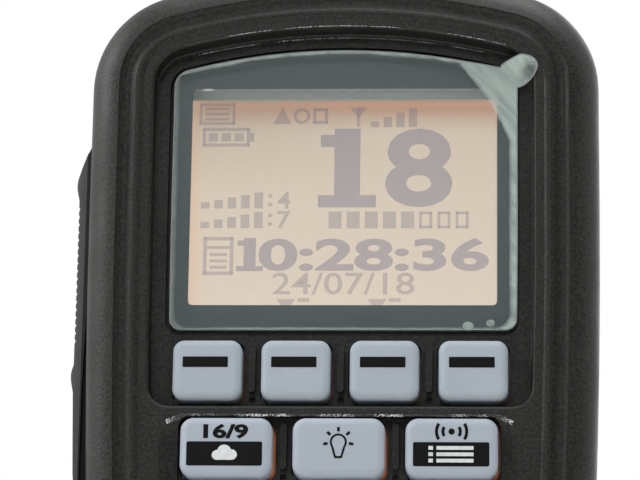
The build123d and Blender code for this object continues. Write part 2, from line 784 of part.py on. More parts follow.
# ================================================================== board and what sits on it
with BuildPart() as main_board:
    with BuildSketch(ahead(board_back)):
        with Locations((0, board_low)):
            RectangleRounded(
                2 * board_half,
                board_high - board_low,
                board_corner / 2,
                align=(Align.CENTER, Align.MIN),
            )
        with Locations(*board_screw_places):
            Circle(board_screw_r + screw_free, mode=Mode.SUBTRACT)
    extrude(amount=board_t)

main_board.part.label = "main_board"
export_step(main_board.part, "parts/main_board.step")

with BuildPart() as board_screws:
    with BuildSketch(ahead(board_back - board_head_t)):
        with Locations(*board_screw_places):
            Circle(2 * board_screw_r)
    extrude(amount=board_head_t)
    with BuildSketch(ahead(board_back)):
        with Locations(*board_screw_places):
            Circle(board_screw_r)
    extrude(amount=board_t + board_bite - run_fit)
    with BuildSketch(ahead(board_back - board_head_t)):
        with Locations(*board_screw_places):
            Rectangle(2 * drive_reach * board_screw_r, board_screw_r / 2)
            Rectangle(board_screw_r / 2, 2 * drive_reach * board_screw_r)
    extrude(amount=board_head_t / 2, mode=Mode.SUBTRACT)

board_screws.part.label = "board_screws"
export_step(board_screws.part, "parts/board_screws.step")

with BuildPart() as board_shield:
    with BuildSketch(ahead(board_back - shield_d)):
        with Locations((0, shield_z)):
            RectangleRounded(shield_w, shield_h, 2 * shield_t)
    extrude(amount=shield_d)
    with BuildSketch(ahead(board_back - shield_d + shield_t)):
        with Locations((0, shield_z)):
            Rectangle(shield_w - 2 * shield_t, shield_h - 2 * shield_t)
    extrude(amount=shield_d - shield_t, mode=Mode.SUBTRACT)

board_shield.part.label = "board_shield"
export_step(board_shield.part, "parts/board_shield.step")

with BuildPart() as processor_chip:
    with BuildSketch(ahead(board_back - chip_t)):
        with Locations((0, shield_z)):
            Rectangle(chip, chip)
    extrude(amount=chip_t)

processor_chip.part.label = "processor_chip"
export_step(processor_chip.part, "parts/processor_chip.step")

with BuildPart() as cable_socket:
    with BuildSketch(ahead(board_back - socket_d)):
        with Locations((socket_x, socket_z)):
            Rectangle(socket_w, socket_h)
    extrude(amount=socket_d)
    with BuildSketch(ahead(board_back - socket_d)):
        with Locations((socket_x, socket_z)):
            Rectangle(socket_w - 4 * shield_t, socket_h - 4 * shield_t)
    extrude(amount=socket_d * socket_hollow, mode=Mode.SUBTRACT)

cable_socket.part.label = "cable_socket"
export_step(cable_socket.part, "parts/cable_socket.step")

# ================================================================== speaker and microphone
inner_face = face - front_wall
with BuildPart() as speaker_mesh:
    with BuildSketch(ahead(inner_face - mesh_t)):
        with Locations((0, grille_z)):
            Circle(speaker_r)
    extrude(amount=mesh_t)

speaker_mesh.part.label = "speaker_mesh"
export_step(speaker_mesh.part, "parts/speaker_mesh.step")

speaker_plane = Plane(origin=(0, 0, grille_z), x_dir=(1, 0, 0), z_dir=(0, 0, 1))
speaker_axis = Axis((0, 0, grille_z), (0, 1, 0))
rim_y = mesh_t - inner_face
basket_y = rim_y + speaker_deep
with BuildPart() as speaker_frame:
    with BuildSketch(speaker_plane):
        with BuildLine():
            Polyline(
                (speaker_r, rim_y),
                (speaker_r, rim_y + basket_edge),
                (speaker_r - basket_edge, rim_y + 2 * basket_t),
                (magnet_r + basket_edge, basket_y),
                (0, basket_y),
                (0, basket_y - basket_t),
                (magnet_r + basket_edge / 2, basket_y - basket_t),
                (speaker_r - speaker_rim - basket_edge / 2, rim_y + basket_edge),
                (speaker_r - speaker_rim, rim_y),
                close=True,
            )
        make_face()
    revolve(axis=speaker_axis)

speaker_frame.part.label = "speaker_frame"
export_step(speaker_frame.part, "parts/speaker_frame.step")

cone_r = speaker_r - speaker_rim - cone_free
cone_y = rim_y + 2 * run_fit
cap_y = cone_y + cone_deep
with BuildPart() as speaker_cone:
    with BuildSketch(speaker_plane):
        with BuildLine():
            Polyline(
                (cone_r, cone_y),
                (cone_r - surround, cone_y),
                (cap_r, cap_y),
                (0, cap_y - cap_rise),
                (0, cap_y + cone_t),
                (cap_r, cap_y + cone_t),
                (cone_r - surround, cone_y + cone_t),
                (cone_r, cone_y + cone_t),
                close=True,
            )
        make_face()
    revolve(axis=speaker_axis)

speaker_cone.part.label = "speaker_cone"
export_step(speaker_cone.part, "parts/speaker_cone.step")

with BuildPart() as speaker_magnet:
    with BuildSketch(ahead(-basket_y - magnet_t)):
        with Locations((0, grille_z)):
            Circle(magnet_r)
    extrude(amount=magnet_t)
    chamfer(speaker_magnet.faces().sort_by(Axis.Y)[-1].edges(), length=basket_edge / 2)

speaker_magnet.part.label = "speaker_magnet"
export_step(speaker_magnet.part, "parts/speaker_magnet.step")

with BuildPart() as mic_boot:
    with BuildSketch(ahead(inner_face - boot_t / 2 - mic_t)):
        with Locations((mic_x, mic_z)):
            Circle(mic_r + boot_t)
    extrude(amount=mic_t + boot_t / 2)
    with BuildSketch(ahead(inner_face - boot_t / 2 - mic_t)):
        with Locations((mic_x, mic_z)):
            Circle(mic_r)
    extrude(amount=mic_t, mode=Mode.SUBTRACT)
    with BuildSketch(ahead(inner_face - boot_t)):
        with Locations((mic_x, mic_z)):
            Circle(mic_hole_r + run_fit)
    extrude(amount=boot_t, mode=Mode.SUBTRACT)

mic_boot.part.label = "mic_boot"
export_step(mic_boot.part, "parts/mic_boot.step")

with BuildPart() as mic_capsule:
    with BuildSketch(ahead(inner_face - boot_t / 2 - mic_t)):
        with Locations((mic_x, mic_z)):
            Circle(mic_r - run_fit)
    extrude(amount=mic_t)

mic_capsule.part.label = "mic_capsule"
export_step(mic_capsule.part, "parts/mic_capsule.step")

# ================================================================== talk lever
lever_half = bay_half - lever_gap
with BuildPart() as talk_lever:
    with BuildSketch(Plane.XZ):
        with BuildLine():
            Polyline(
                (-lever_inner, bay_high - lever_gap),
                (lever_gap - half_width, bay_high - lever_gap),
                (-half_width - lever_edge, ridge_up + lever_head_run),
                (-rest_reach, ridge_up + ridge_rise),
                (-ridge_reach, ridge_up),
                (-rest_reach, ridge_up - ridge_fall),
                (-rest_reach, ridge_low + ridge_rise),
                (-ridge_reach, ridge_low),
                (-rest_reach, ridge_low - ridge_fall),
                (lever_tail_in - rest_reach, bay_low + lever_tail_run),
                (-half_width - lever_edge, bay_low + lever_foot_run),
                (lever_foot_in - half_width, bay_low + lever_gap),
                (-lever_inner, bay_low + lever_gap),
                close=True,
            )
        make_face()
        with Locations((-pivot_x, pivot_z)):
            Circle(knuckle_r)
        rib_side = rib_deep * sqrt(2)
        with Locations((-rest_reach, (ridge_up + ridge_low) / 2)):
            with GridLocations(0, rib_pitch, 1, rib_count):
                Rectangle(rib_side, rib_side, rotation=45, mode=Mode.SUBTRACT)
        with Locations((-pivot_x, pivot_z)):
            Circle(pivot_r + run_fit, mode=Mode.SUBTRACT)
    extrude(amount=lever_half, both=True)
    # Crowned across, so that the ribs run out before the front and rear edges.
    with BuildSketch(Plane.XY):
        with BuildLine():
            crown_edge = -half_width - lever_crown_low
            across = ThreePointArc(
                (crown_edge, -lever_half), (-ridge_reach - run_fit, 0), (crown_edge, lever_half)
            )
            Polyline(across @ 1, (0, lever_half), (0, -lever_half), across @ 0)
        make_face()
    extrude(amount=height, mode=Mode.INTERSECT)
    with BuildSketch(ahead(lever_half - rebate_deep)):
        with BuildLine():
            Polyline(
                (-pivot_x, bay_low + lever_gap),
                (-half_width - lever_edge, bay_low + lever_gap),
                (-half_width - lever_edge, ridge_low - ridge_fall),
                (-half_width, rebate_high),
                (-pivot_x, rebate_high),
                close=True,
            )
        make_face()
    extrude(amount=rebate_deep, mode=Mode.SUBTRACT)

talk_lever.part.label = "talk_lever"
export_step(talk_lever.part, "parts/talk_lever.step")

with BuildPart() as talk_pivot_pin:
    with BuildSketch(Plane.XZ):
        with Locations((-pivot_x, pivot_z)):
            Circle(pivot_r)
    extrude(amount=bay_half + pivot_grip - run_fit, both=True)

talk_pivot_pin.part.label = "talk_pivot_pin"
export_step(talk_pivot_pin.part, "parts/talk_pivot_pin.step")

plunger_travel = (plunger_z - pivot_z) * sin(radians(lever_angle))
switch_face = -board_half + run_fit
plunger_tip = -lever_inner + 3 * run_fit
plunger_tail = switch_face + plunger_r
with BuildPart() as talk_plunger:
    with Locations(((plunger_tip + plunger_tail) / 2, plunger_back, plunger_z)):
        Cylinder(plunger_r, plunger_tail - plunger_tip, rotation=(0, 90, 0))
    with Locations((plunger_tip + plunger_r / 2, plunger_back, plunger_z)):
        Cylinder(plunger_head * plunger_r, plunger_r, rotation=(0, 90, 0))

talk_plunger.part.label = "talk_plunger"
export_step(talk_plunger.part, "parts/talk_plunger.step")

talk_switch_deep = plunger_r + plunger_travel + 4 * run_fit
with BuildPart() as talk_switch:
    with BuildSketch(ahead(-plunger_back - 2 * plunger_r)):
        with Locations((switch_face, plunger_z)):
            Rectangle(switch_t, switch_w, align=(Align.MIN, Align.CENTER))
    extrude(amount=plunger_back + 2 * plunger_r + board_back)
    with Locations((switch_face, plunger_back, plunger_z)):
        Cylinder(
            plunger_r + run_fit, 2 * talk_switch_deep, rotation=(0, 90, 0), mode=Mode.SUBTRACT
        )

talk_switch.part.label = "talk_switch"
export_step(talk_switch.part, "parts/talk_switch.step")

# ================================================================== hang-up button
neck_end = stud_back + stud_neck_t
with BuildPart() as hang_up_button:
    with BuildSketch(ahead(-stud_back)):
        with Locations((0, stud_z)):
            Circle(stud_foot_r)
    extrude(amount=stud_foot_t)
    with BuildSketch(ahead(-neck_end)):
        with Locations((0, stud_z)):
            Circle(stud_neck_r)
    extrude(amount=stud_neck_t)
    with BuildSketch(ahead(-neck_end - stud_head_t)):
        with Locations((0, stud_z)):
            Circle(stud_head_r)
    extrude(amount=stud_head_t)
    chamfer(hang_up_button.edges().group_by(Axis.Y)[-1], length=stud_head_t / 3)
    with BuildSketch(ahead(-stud_back - stud_screw_bite)):
        with Locations((0, stud_z)):
            Circle(stud_screw_r + run_fit)
    extrude(amount=stud_screw_bite + stud_foot_t, mode=Mode.SUBTRACT)

hang_up_button.part.label = "hang_up_button"
export_step(hang_up_button.part, "parts/hang_up_button.step")

with BuildPart() as hang_up_screw:
    with BuildSketch(ahead(-stud_seat)):
        with Locations((0, stud_z)):
            Circle(2 * stud_screw_r)
    extrude(amount=screw_head_t)
    with BuildSketch(ahead(-stud_back - stud_screw_bite + 2 * run_fit)):
        with Locations((0, stud_z)):
            Circle(stud_screw_r)
    extrude(amount=stud_back + stud_screw_bite - 2 * run_fit - stud_seat)
    with BuildSketch(ahead(screw_head_t - stud_seat)):
        with Locations((0, stud_z)):
            Rectangle(2 * drive_reach * stud_screw_r, drive_slot)
    extrude(amount=-screw_head_t / 2, mode=Mode.SUBTRACT)

hang_up_screw.part.label = "hang_up_screw"
export_step(hang_up_screw.part, "parts/hang_up_screw.step")

# ================================================================== distress lid and button
with BuildPart() as distress_lid:
    with BuildSketch(ahead(-lid_back)):
        with Locations((0, lid_z)):
            RectangleRounded(lid_w, lid_h, plinth_wall)
    extrude(amount=lid_t)
    fillet(distress_lid.faces().sort_by(Axis.Y)[-1].edges(), radius=lid_edge)
    with Locations((0, hinge_y, hinge_z)):
        Cylinder(barrel_r, lid_w - 2 * plinth_wall, rotation=(0, 90, 0))
    with Locations((0, lid_back, lid_low + 2 * lid_grip)):
        Box(lid_w / 2, 2 * lid_grip, lid_grip)
    with Locations((0, hinge_y, hinge_z)):
        Cylinder(barrel_r + 3 * run_fit, coil_room, rotation=(0, 90, 0), mode=Mode.SUBTRACT)
        Cylinder(hinge_r + run_fit, 2 * lid_w, rotation=(0, 90, 0), mode=Mode.SUBTRACT)

distress_lid.part.label = "distress_lid"
export_step(distress_lid.part, "parts/distress_lid.step")

with BuildPart() as distress_hinge_pin:
    with Locations((0, hinge_y, hinge_z)):
        Cylinder(hinge_r - run_fit / 2, pocket_w + plinth_wall, rotation=(0, 90, 0))

distress_hinge_pin.part.label = "distress_hinge_pin"
export_step(distress_hinge_pin.part, "parts/distress_hinge_pin.step")

coil_r = hinge_r + 1.5 * coil_wire_r
with BuildPart() as distress_spring:
    with BuildLine():
        turns = Helix(
            pitch=coil_pitch,
            height=coil_room - 4 * coil_wire_r,
            radius=coil_r,
            center=(2 * coil_wire_r - coil_room / 2, hinge_y, hinge_z),
            direction=(1, 0, 0),
        )
    with BuildSketch(Plane(origin=turns @ 0, z_dir=turns % 0)):
        RegularPolygon(coil_wire_r, 8)
    sweep(path=turns, is_frenet=True)

distress_spring.part.label = "distress_spring"
export_step(distress_spring.part, "parts/distress_spring.step")

button_back = pocket_floor - floor_t - key_lip_gap
switch_top = switch_t - board_back
with BuildPart() as distress_button:
    with BuildSketch(ahead(-pocket_floor - button_rise)):
        with Locations((0, button_z)):
            Circle(button_r)
    extrude(amount=button_rise + floor_t + key_lip_gap)
    chamfer(distress_button.faces().sort_by(Axis.Y)[-1].edges(), length=key_edge / 2)
    with BuildSketch(ahead(-button_back)):
        with Locations((0, button_z)):
            Circle(button_r + button_flange)
    extrude(amount=button_flange_t)
    with BuildSketch(ahead(-button_back)):
        with Locations((0, button_z)):
            Circle(button_stem_r)
    extrude(amount=button_back - switch_top - button_travel - 2 * run_fit)

distress_button.part.label = "distress_button"
export_step(distress_button.part, "parts/distress_button.step")

with BuildPart() as distress_switch:
    with BuildSketch(ahead(-switch_top + button_stem_r / 3)):
        with Locations((0, button_z)):
            Rectangle(switch_w, switch_w)
    extrude(amount=switch_top + board_back - button_stem_r / 3)
    with BuildSketch(ahead(-switch_top)):
        with Locations((0, button_z)):
            Circle(button_stem_r)
    extrude(amount=button_stem_r / 3)

distress_switch.part.label = "distress_switch"
export_step(distress_switch.part, "parts/distress_switch.step")

# ================================================================== cord gland
gland_plane = Plane(origin=(0, inlet_y, 0), x_dir=(1, 0, 0), z_dir=(0, -1, 0))
with BuildPart() as cord_gland:
    with BuildSketch(gland_plane):
        with BuildLine():
            flange_r = gland_r + gland_flange
            Polyline(
                (inlet_r, 2 * run_fit),
                (flange_r, 2 * run_fit),
                (flange_r, gland_out_t),
                (gland_r, gland_out_t),
                (gland_r, wall),
                (flange_r, wall),
                (flange_r, wall + gland_in_t),
                (gland_r, wall + gland_in_t),
                (gland_r, gland_len),
                (inlet_r, gland_len),
                close=True,
            )
        make_face()
    revolve(axis=Axis((0, inlet_y, 0), (0, 0, 1)))

cord_gland.part.label = "cord_gland"
export_step(cord_gland.part, "parts/cord_gland.step")
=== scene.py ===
"""Looks of the marine radio handset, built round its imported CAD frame.

The camera, the lamps and the finished meshes are in metres, as the frame is. Prints, icons and
films are drawn in millimetres on a flat sheet, x to the right and y up, and are then stood up
in front of the plane where the two covers part.
"""
import math

import bmesh
import bpy
from mathutils import Matrix, Vector


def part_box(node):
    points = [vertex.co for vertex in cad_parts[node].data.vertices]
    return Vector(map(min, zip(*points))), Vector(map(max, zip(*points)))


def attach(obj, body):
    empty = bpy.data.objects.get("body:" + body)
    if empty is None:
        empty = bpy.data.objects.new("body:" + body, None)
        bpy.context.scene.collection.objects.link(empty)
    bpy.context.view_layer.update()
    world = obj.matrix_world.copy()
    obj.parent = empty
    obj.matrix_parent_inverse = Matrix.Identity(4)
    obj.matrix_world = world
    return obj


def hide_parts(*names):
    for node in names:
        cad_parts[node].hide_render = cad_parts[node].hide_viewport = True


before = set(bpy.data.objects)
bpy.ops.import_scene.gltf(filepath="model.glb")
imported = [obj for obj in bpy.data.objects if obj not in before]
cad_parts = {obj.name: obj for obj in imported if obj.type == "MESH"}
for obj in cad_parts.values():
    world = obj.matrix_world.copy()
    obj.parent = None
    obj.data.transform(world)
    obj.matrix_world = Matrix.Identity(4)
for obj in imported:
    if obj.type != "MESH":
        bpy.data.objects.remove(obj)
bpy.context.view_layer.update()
bpy.context.scene.view_settings.view_transform = "Standard"

MM = 0.001

# Sizes in millimetres that more than one piece follows. Heights are above the handset's foot.
ARCH_Z = 55.0  # centre of the wide arches of the display well, the window and its film
WINDOW_T = 1.4  # the border is printed on the window's back
VIEW_WIDE, VIEW_TALL, VIEW_Z = 42.0, 30.6, 120.0  # clear view inside that border


# ---------------------------------------------------------------- camera, lamps and room
def place_camera():
    """A long lens close below the handset's middle, looking up at the display."""
    pitch, yaw, roll = (math.radians(angle) for angle in (14.02, -3.32, 0.78))
    level = math.cos(pitch)
    ahead = Vector((math.sin(yaw) * level, math.cos(yaw) * level, math.sin(pitch)))
    beside = Vector((math.cos(yaw), -math.sin(yaw), 0))
    above = beside.cross(ahead)
    right = math.cos(roll) * beside + math.sin(roll) * above
    up = -math.sin(roll) * beside + math.cos(roll) * above
    eye = Vector((0.0215, -0.400, 0.0158))
    turn = Matrix((right, up, -ahead)).transposed().to_4x4()
    camera = bpy.data.objects.new("camera", bpy.data.cameras.new("camera"))
    bpy.context.collection.objects.link(camera)
    camera.matrix_world = Matrix.Translation(eye) @ turn
    camera.data.sensor_width, camera.data.lens = 36, 166.56
    camera.data.shift_x, camera.data.shift_y = -0.0220, 0.0019
    camera.data.clip_start = 0.01
    bpy.context.scene.camera = camera


def soft_lamp(name, place, size, power):
    """A square softbox that looks at the display."""
    display = Vector((0, 0, 0.11))
    lamp = bpy.data.objects.new(name, bpy.data.lights.new(name, "AREA"))
    lamp.data.size, lamp.data.energy = size, power
    lamp.location = place
    lamp.rotation_mode = "QUATERNION"
    lamp.rotation_quaternion = (display - Vector(place)).to_track_quat("-Z", "Y")
    bpy.context.collection.objects.link(lamp)


def studio():
    """The room: dim on the user's side, and pale above and behind.

    Seen straight, or through clear plastic, it is white, and so is what a gloss shows of the
    part behind the handset.
    """
    world = bpy.data.worlds.new("studio")
    bpy.context.scene.world = world
    world.use_nodes = True
    room = world.node_tree
    room.nodes.clear()
    rays = add(room, "ShaderNodeLightPath").outputs
    aim = add(room, "ShaderNodeTexCoord").outputs["Generated"]
    way = add(room, "ShaderNodeSeparateXYZ", {"Vector": aim}).outputs
    seen = add(
        room,
        "ShaderNodeMapRange",
        {"Value": way["Z"], "From Min": -0.6, "From Max": 0.9, "To Min": 0.05, "To Max": 0.34},
    )
    behind = add(
        room, "ShaderNodeMapRange", {"Value": way["Y"], "From Min": -0.35, "From Max": 0.25}
    )
    gloss = add(
        room, "ShaderNodeMath", {0: rays["Is Glossy Ray"], 1: behind}, operation="MULTIPLY"
    )
    for ray in (rays["Is Camera Ray"], rays["Is Transmission Ray"], gloss):
        seen = add(room, "ShaderNodeMath", {0: seen, 1: ray}, operation="MAXIMUM")
    backdrop = add(room, "ShaderNodeBackground", {"Color": (1, 1, 1, 1), "Strength": seen})
    add(room, "ShaderNodeOutputWorld", {"Surface": backdrop})


# ---------------------------------------------------------------- material helpers
def srgb(code):
    """Linear colour of an sRGB hex value."""
    parts = [int(code[i : i + 2], 16) / 255 for i in (1, 3, 5)]
    return (*[p / 12.92 if p <= 0.04045 else ((p + 0.055) / 1.055) ** 2.4 for p in parts], 1)


def per(mm):
    """Texture scale for a pattern whose spots are this many millimetres apart."""
    return 1 / (mm * MM)


def feed(node, sockets):
    """Gives each named socket its value, or a link from a socket or a node's first live output."""
    for name, value in sockets.items():
        if isinstance(value, bpy.types.Node):
            value = next(out for out in value.outputs if out.enabled)
        if isinstance(value, bpy.types.NodeSocket):
            node.id_data.links.new(value, node.inputs[name])
        else:
            node.inputs[name].default_value = value


def add(tree, kind, sockets=None, **settings):
    """Adds a node with its settings, and feeds its sockets."""
    made = tree.nodes.new(kind)
    for name, value in settings.items():
        setattr(made, name, value)
    feed(made, sockets or {})
    return made


def blank(name, constants):
    """A new material, with its node tree, its shader and coordinates that ride with the piece."""
    material = bpy.data.materials.new(name)
    material.use_nodes = True
    tree = material.node_tree
    tree.nodes.clear()
    shader = add(tree, "ShaderNodeBsdfPrincipled", constants)
    add(tree, "ShaderNodeOutputMaterial", {"Surface": shader})
    place = add(tree, "ShaderNodeTexCoord").outputs["Object"]
    return material, tree, shader, place


def moulded(name, low, high, grain, depth, rough, specular=0.5):
    """Moulded plastic or rubber: an eroded grain in two tones, and broad patches in its gloss."""
    material, tree, shader, place = blank(name, {"Specular IOR Level": specular})
    fine = add(tree, "ShaderNodeTexNoise", {"Vector": place, "Scale": per(grain), "Detail": 2})
    patches = add(tree, "ShaderNodeTexNoise", {"Vector": place, "Scale": per(9), "Detail": 3})
    flecks = add(tree, "ShaderNodeMapRange", {"Value": fine, "From Min": 0.36, "From Max": 0.64})
    tint = add(
        tree,
        "ShaderNodeMix",
        {"Factor": flecks, "A": srgb(low), "B": srgb(high)},
        data_type="RGBA",
    )
    gloss = add(
        tree,
        "ShaderNodeMapRange",
        {
            "Value": patches,
            "From Min": 0.3,
            "From Max": 0.7,
            "To Min": rough - 0.06,
            "To Max": rough + 0.06,
        },
    )
    bump = add(tree, "ShaderNodeBump", {"Height": fine, "Distance": depth * MM})
    feed(shader, {"Base Color": tint, "Roughness": gloss, "Normal": bump})
    return material


# ---------------------------------------------------------------- flat drawing, in millimetres
def plate(sheet, width, tall, corner=0.0, at=(0, 0), turn=0.0):
    """A rectangle on the sheet, with rounded corners if asked."""
    made = bmesh.ops.create_grid(sheet, x_segments=1, y_segments=1, size=0.5)["verts"]
    bmesh.ops.scale(sheet, verts=made, vec=(width, tall, 1))
    if corner:
        made = bmesh.ops.bevel(
            sheet,
            geom=made,
            affect="VERTICES",
            offset=corner,
            segments=4,
            profile=0.5,
            material=-1,
        )["verts"]
    put = Matrix.Translation((*at, 0)) @ Matrix.Rotation(math.radians(turn), 4, "Z")
    bmesh.ops.transform(sheet, matrix=put, verts=made)


def ring(sheet, radius, thick, at=(0, 0), start=0.0, sweep=360.0):
    """A ring or an arc of one, its thickness centred on the radius."""
    old = set(sheet.verts)
    ends = [sheet.verts.new((radius + side * thick / 2, 0, 0)) for side in (-1, 1)]
    edge = sheet.edges.new(ends)
    bmesh.ops.rotate(sheet, verts=ends, matrix=Matrix.Rotation(math.radians(start), 3, "Z"))
    bmesh.ops.spin(
        sheet,
        geom=[*ends, edge],
        axis=(0, 0, 1),
        angle=math.radians(sweep),
        steps=max(6, int(sweep / 12), int(radius * sweep / 180)),
        use_merge=sweep == 360,
    )
    bmesh.ops.translate(sheet, verts=[v for v in sheet.verts if v not in old], vec=(*at, 0))


def disc(sheet, radius, at=(0, 0)):
    """A filled circle."""
    put = Matrix.Translation((*at, 0))
    bmesh.ops.create_circle(sheet, cap_ends=True, segments=24, radius=radius, matrix=put)


def tri(sheet, width, tall, at=(0, 0)):
    """A solid triangle; a negative height points it down."""
    size = Matrix.Diagonal((width / math.sqrt(3), tall / 1.5, 1, 1))
    put = Matrix.Translation((*at, 0)) @ size
    bmesh.ops.create_circle(sheet, cap_ends=True, segments=3, radius=1, matrix=put)


def bar(sheet, start, end, thick):
    """A straight stroke between two points."""
    run = Vector(end) - Vector(start)
    turn = math.degrees(math.atan2(run.y, run.x))
    plate(sheet, run.length, thick, at=(Vector(end) + Vector(start)) / 2, turn=turn)


def box_of_bars(sheet, width, tall, thick, at):
    """A rectangle drawn with four strokes."""
    x, y = at
    for side in (-1, 1):
        plate(sheet, thick, tall, at=(x + side * (width - thick) / 2, y))
        plate(sheet, width, thick, at=(x, y + side * (tall - thick) / 2))


def digits(sheet, words, tall, wide, at, bold):
    """Numbers in the plain built-in face, centred on a point, as tall and as wide as asked."""
    curve = bpy.data.curves.new("digits", "FONT")
    curve.body, curve.size, curve.offset = words, tall, bold
    curve.resolution_u = 4
    holder = bpy.data.objects.new("digits", curve)
    bpy.context.collection.objects.link(holder)
    bpy.context.view_layer.update()
    drawn = holder.evaluated_get(bpy.context.evaluated_depsgraph_get())
    mesh = bpy.data.meshes.new_from_object(drawn)
    bpy.data.objects.remove(holder)
    old = set(sheet.verts)
    sheet.from_mesh(mesh)
    bpy.data.meshes.remove(mesh)
    made = [v for v in sheet.verts if v not in old]
    left, right = min(v.co.x for v in made), max(v.co.x for v in made)
    foot, head = min(v.co.y for v in made), max(v.co.y for v in made)
    bmesh.ops.translate(sheet, verts=made, vec=(-(left + right) / 2, -(foot + head) / 2, 0))
    bmesh.ops.scale(sheet, verts=made, vec=(wide / (right - left), tall / (head - foot), 1))
    bmesh.ops.translate(sheet, verts=made, vec=(*at, 0))


def figure_one(sheet, tall, wide, foot):
    """A figure one with a broad foot. Its foot, stem and flag meet edge to edge."""
    x, y = foot
    stroke = tall * 0.155
    plate(sheet, wide, stroke, at=(x, y + stroke / 2))
    plate(sheet, wide * 0.45, tall - stroke, at=(x, y + (tall + stroke) / 2))
    plate(sheet, wide * 0.24, stroke, at=(x - wide * 0.345, y + tall - stroke))


def middle(name):
    """Middle of a node's front, in millimetres on the sheet."""
    low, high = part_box(name)
    return (low[0] + high[0]) / 2 / MM, (low[2] + high[2]) / 2 / MM


def front(name):
    """How far the node's front stands ahead of the parting plane, in millimetres."""
    return -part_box(name)[0][1] / MM


def flat_front(name):
    """The flat front of a node, drawn on a sheet as one face."""
    sheet = bmesh.new()
    sheet.from_mesh(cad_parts[name].data)
    bmesh.ops.remove_doubles(sheet, verts=sheet.verts, dist=1e-7)
    sheet.normal_update()
    rest = [f for f in sheet.faces if f.normal.y > -0.9]
    bmesh.ops.delete(sheet, geom=rest, context="FACES")
    bmesh.ops.dissolve_faces(sheet, faces=sheet.faces)
    lay = Matrix.Diagonal((1 / MM, 1 / MM, 0, 1)) @ Matrix.Rotation(-math.pi / 2, 4, "X")
    bmesh.ops.transform(sheet, matrix=lay, verts=sheet.verts)
    return sheet


def stand(sheet, name, depth, material, body="housing", at=(0, 0)):
    """Stands a drawn sheet up ahead of the parting plane and makes it a piece."""
    mesh = bpy.data.meshes.new(name)
    bmesh.ops.translate(sheet, verts=sheet.verts, vec=(*at, 0))
    upright = Matrix.Translation((0, -depth * MM, 0)) @ Matrix.Rotation(math.pi / 2, 4, "X")
    bmesh.ops.transform(sheet, matrix=upright @ Matrix.Scale(MM, 4), verts=sheet.verts)
    sheet.normal_update()
    for face in sheet.faces:
        if face.normal.y > 0:
            face.normal_flip()
    sheet.to_mesh(mesh)
    sheet.free()
    piece = bpy.data.objects.new(name, mesh)
    bpy.context.collection.objects.link(piece)
    mesh.materials.append(material)
    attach(piece, body)
    return piece


# ---------------------------------------------------------------- the room and its lamps
place_camera()
studio()
soft_lamp("window_light", (-0.64, -0.13, 0.45), 0.40, 2.9)
soft_lamp("ceiling_light", (0.10, -0.10, 0.75), 0.50, 2.9)
soft_lamp("front_light", (-0.12, -0.95, 0.62), 0.30, 1.3)
soft_lamp("right_fill", (0.60, -0.12, 0.48), 0.30, 0.35)
soft_lamp("back_fill", (0.20, 0.60, 0.35), 0.50, 1.4)

# ---------------------------------------------------------------- plastics and rubbers
# ABS, spark-eroded tool: near black, with a soft broad sheen broken by its grain.
shell_abs = moulded("black_eroded_abs", "#030402", "#272b23", 0.35, 0.038, 0.50, specular=0.43)
# Thermoplastic rubber: the same black, dull, with a dusty bloom.
lever_tpe = moulded("black_soft_tpe", "#1a1c1a", "#242623", 0.30, 0.010, 0.62, specular=0.35)
# Solid EPDM, as on seals and glands: dull black.
dark_rubber = moulded("black_epdm", "#161716", "#1e1f1e", 0.3, 0.008, 0.7, specular=0.3)
# Polycarbonate from a polished tool: a clear signal red with a hard gloss.
lid_red = moulded("red_polycarbonate", "#a81c14", "#b8241a", 0.5, 0.003, 0.28)
# Silicone rubber, the same red, matt.
button_red = moulded("red_silicone", "#b5231a", "#bf2b20", 0.3, 0.005, 0.5)
# Acetal, unpainted: an off-white with a waxy sheen.
inner_plastic = moulded("white_acetal", "#d5d3cc", "#dedcd5", 0.5, 0.003, 0.4)
# Filled epoxy and other dark mouldings inside: satin black.
chip_epoxy = moulded("black_epoxy", "#1d1d1e", "#252526", 0.2, 0.004, 0.55)
# Polycarbonate with glass fibre: the display's frame, a cool grey.
frame_grey = moulded("grey_display_frame", "#ccd5d2", "#d9e1de", 0.35, 0.006, 0.5)
# Solder mask: a green varnish over copper that shows as slight waves.
board_green = moulded("green_solder_mask", "#1f5a34", "#246139", 1.2, 0.004, 0.35)
# Woven polyester, drawn coarser than its threads so that it shows: dead black.
cloth_black = moulded("black_speaker_cloth", "#101110", "#1b1c1b", 0.25, 0.03, 0.8, specular=0.2)
# Polyester film, pressed hot: grey brown with a silky gloss.
cone_film = moulded("grey_polyester_film", "#6e6a60", "#7b776c", 0.8, 0.004, 0.3)
# PMMA light guide, frosted on its back.
guide = moulded("frosted_light_guide", "#d8dcd6", "#e2e5df", 0.4, 0.004, 0.25)
# Acrylic foam tape: dead black and matt.
tape_black = moulded("black_foam_tape", "#0c0d0c", "#131413", 0.2, 0.02, 0.8, specular=0.2)


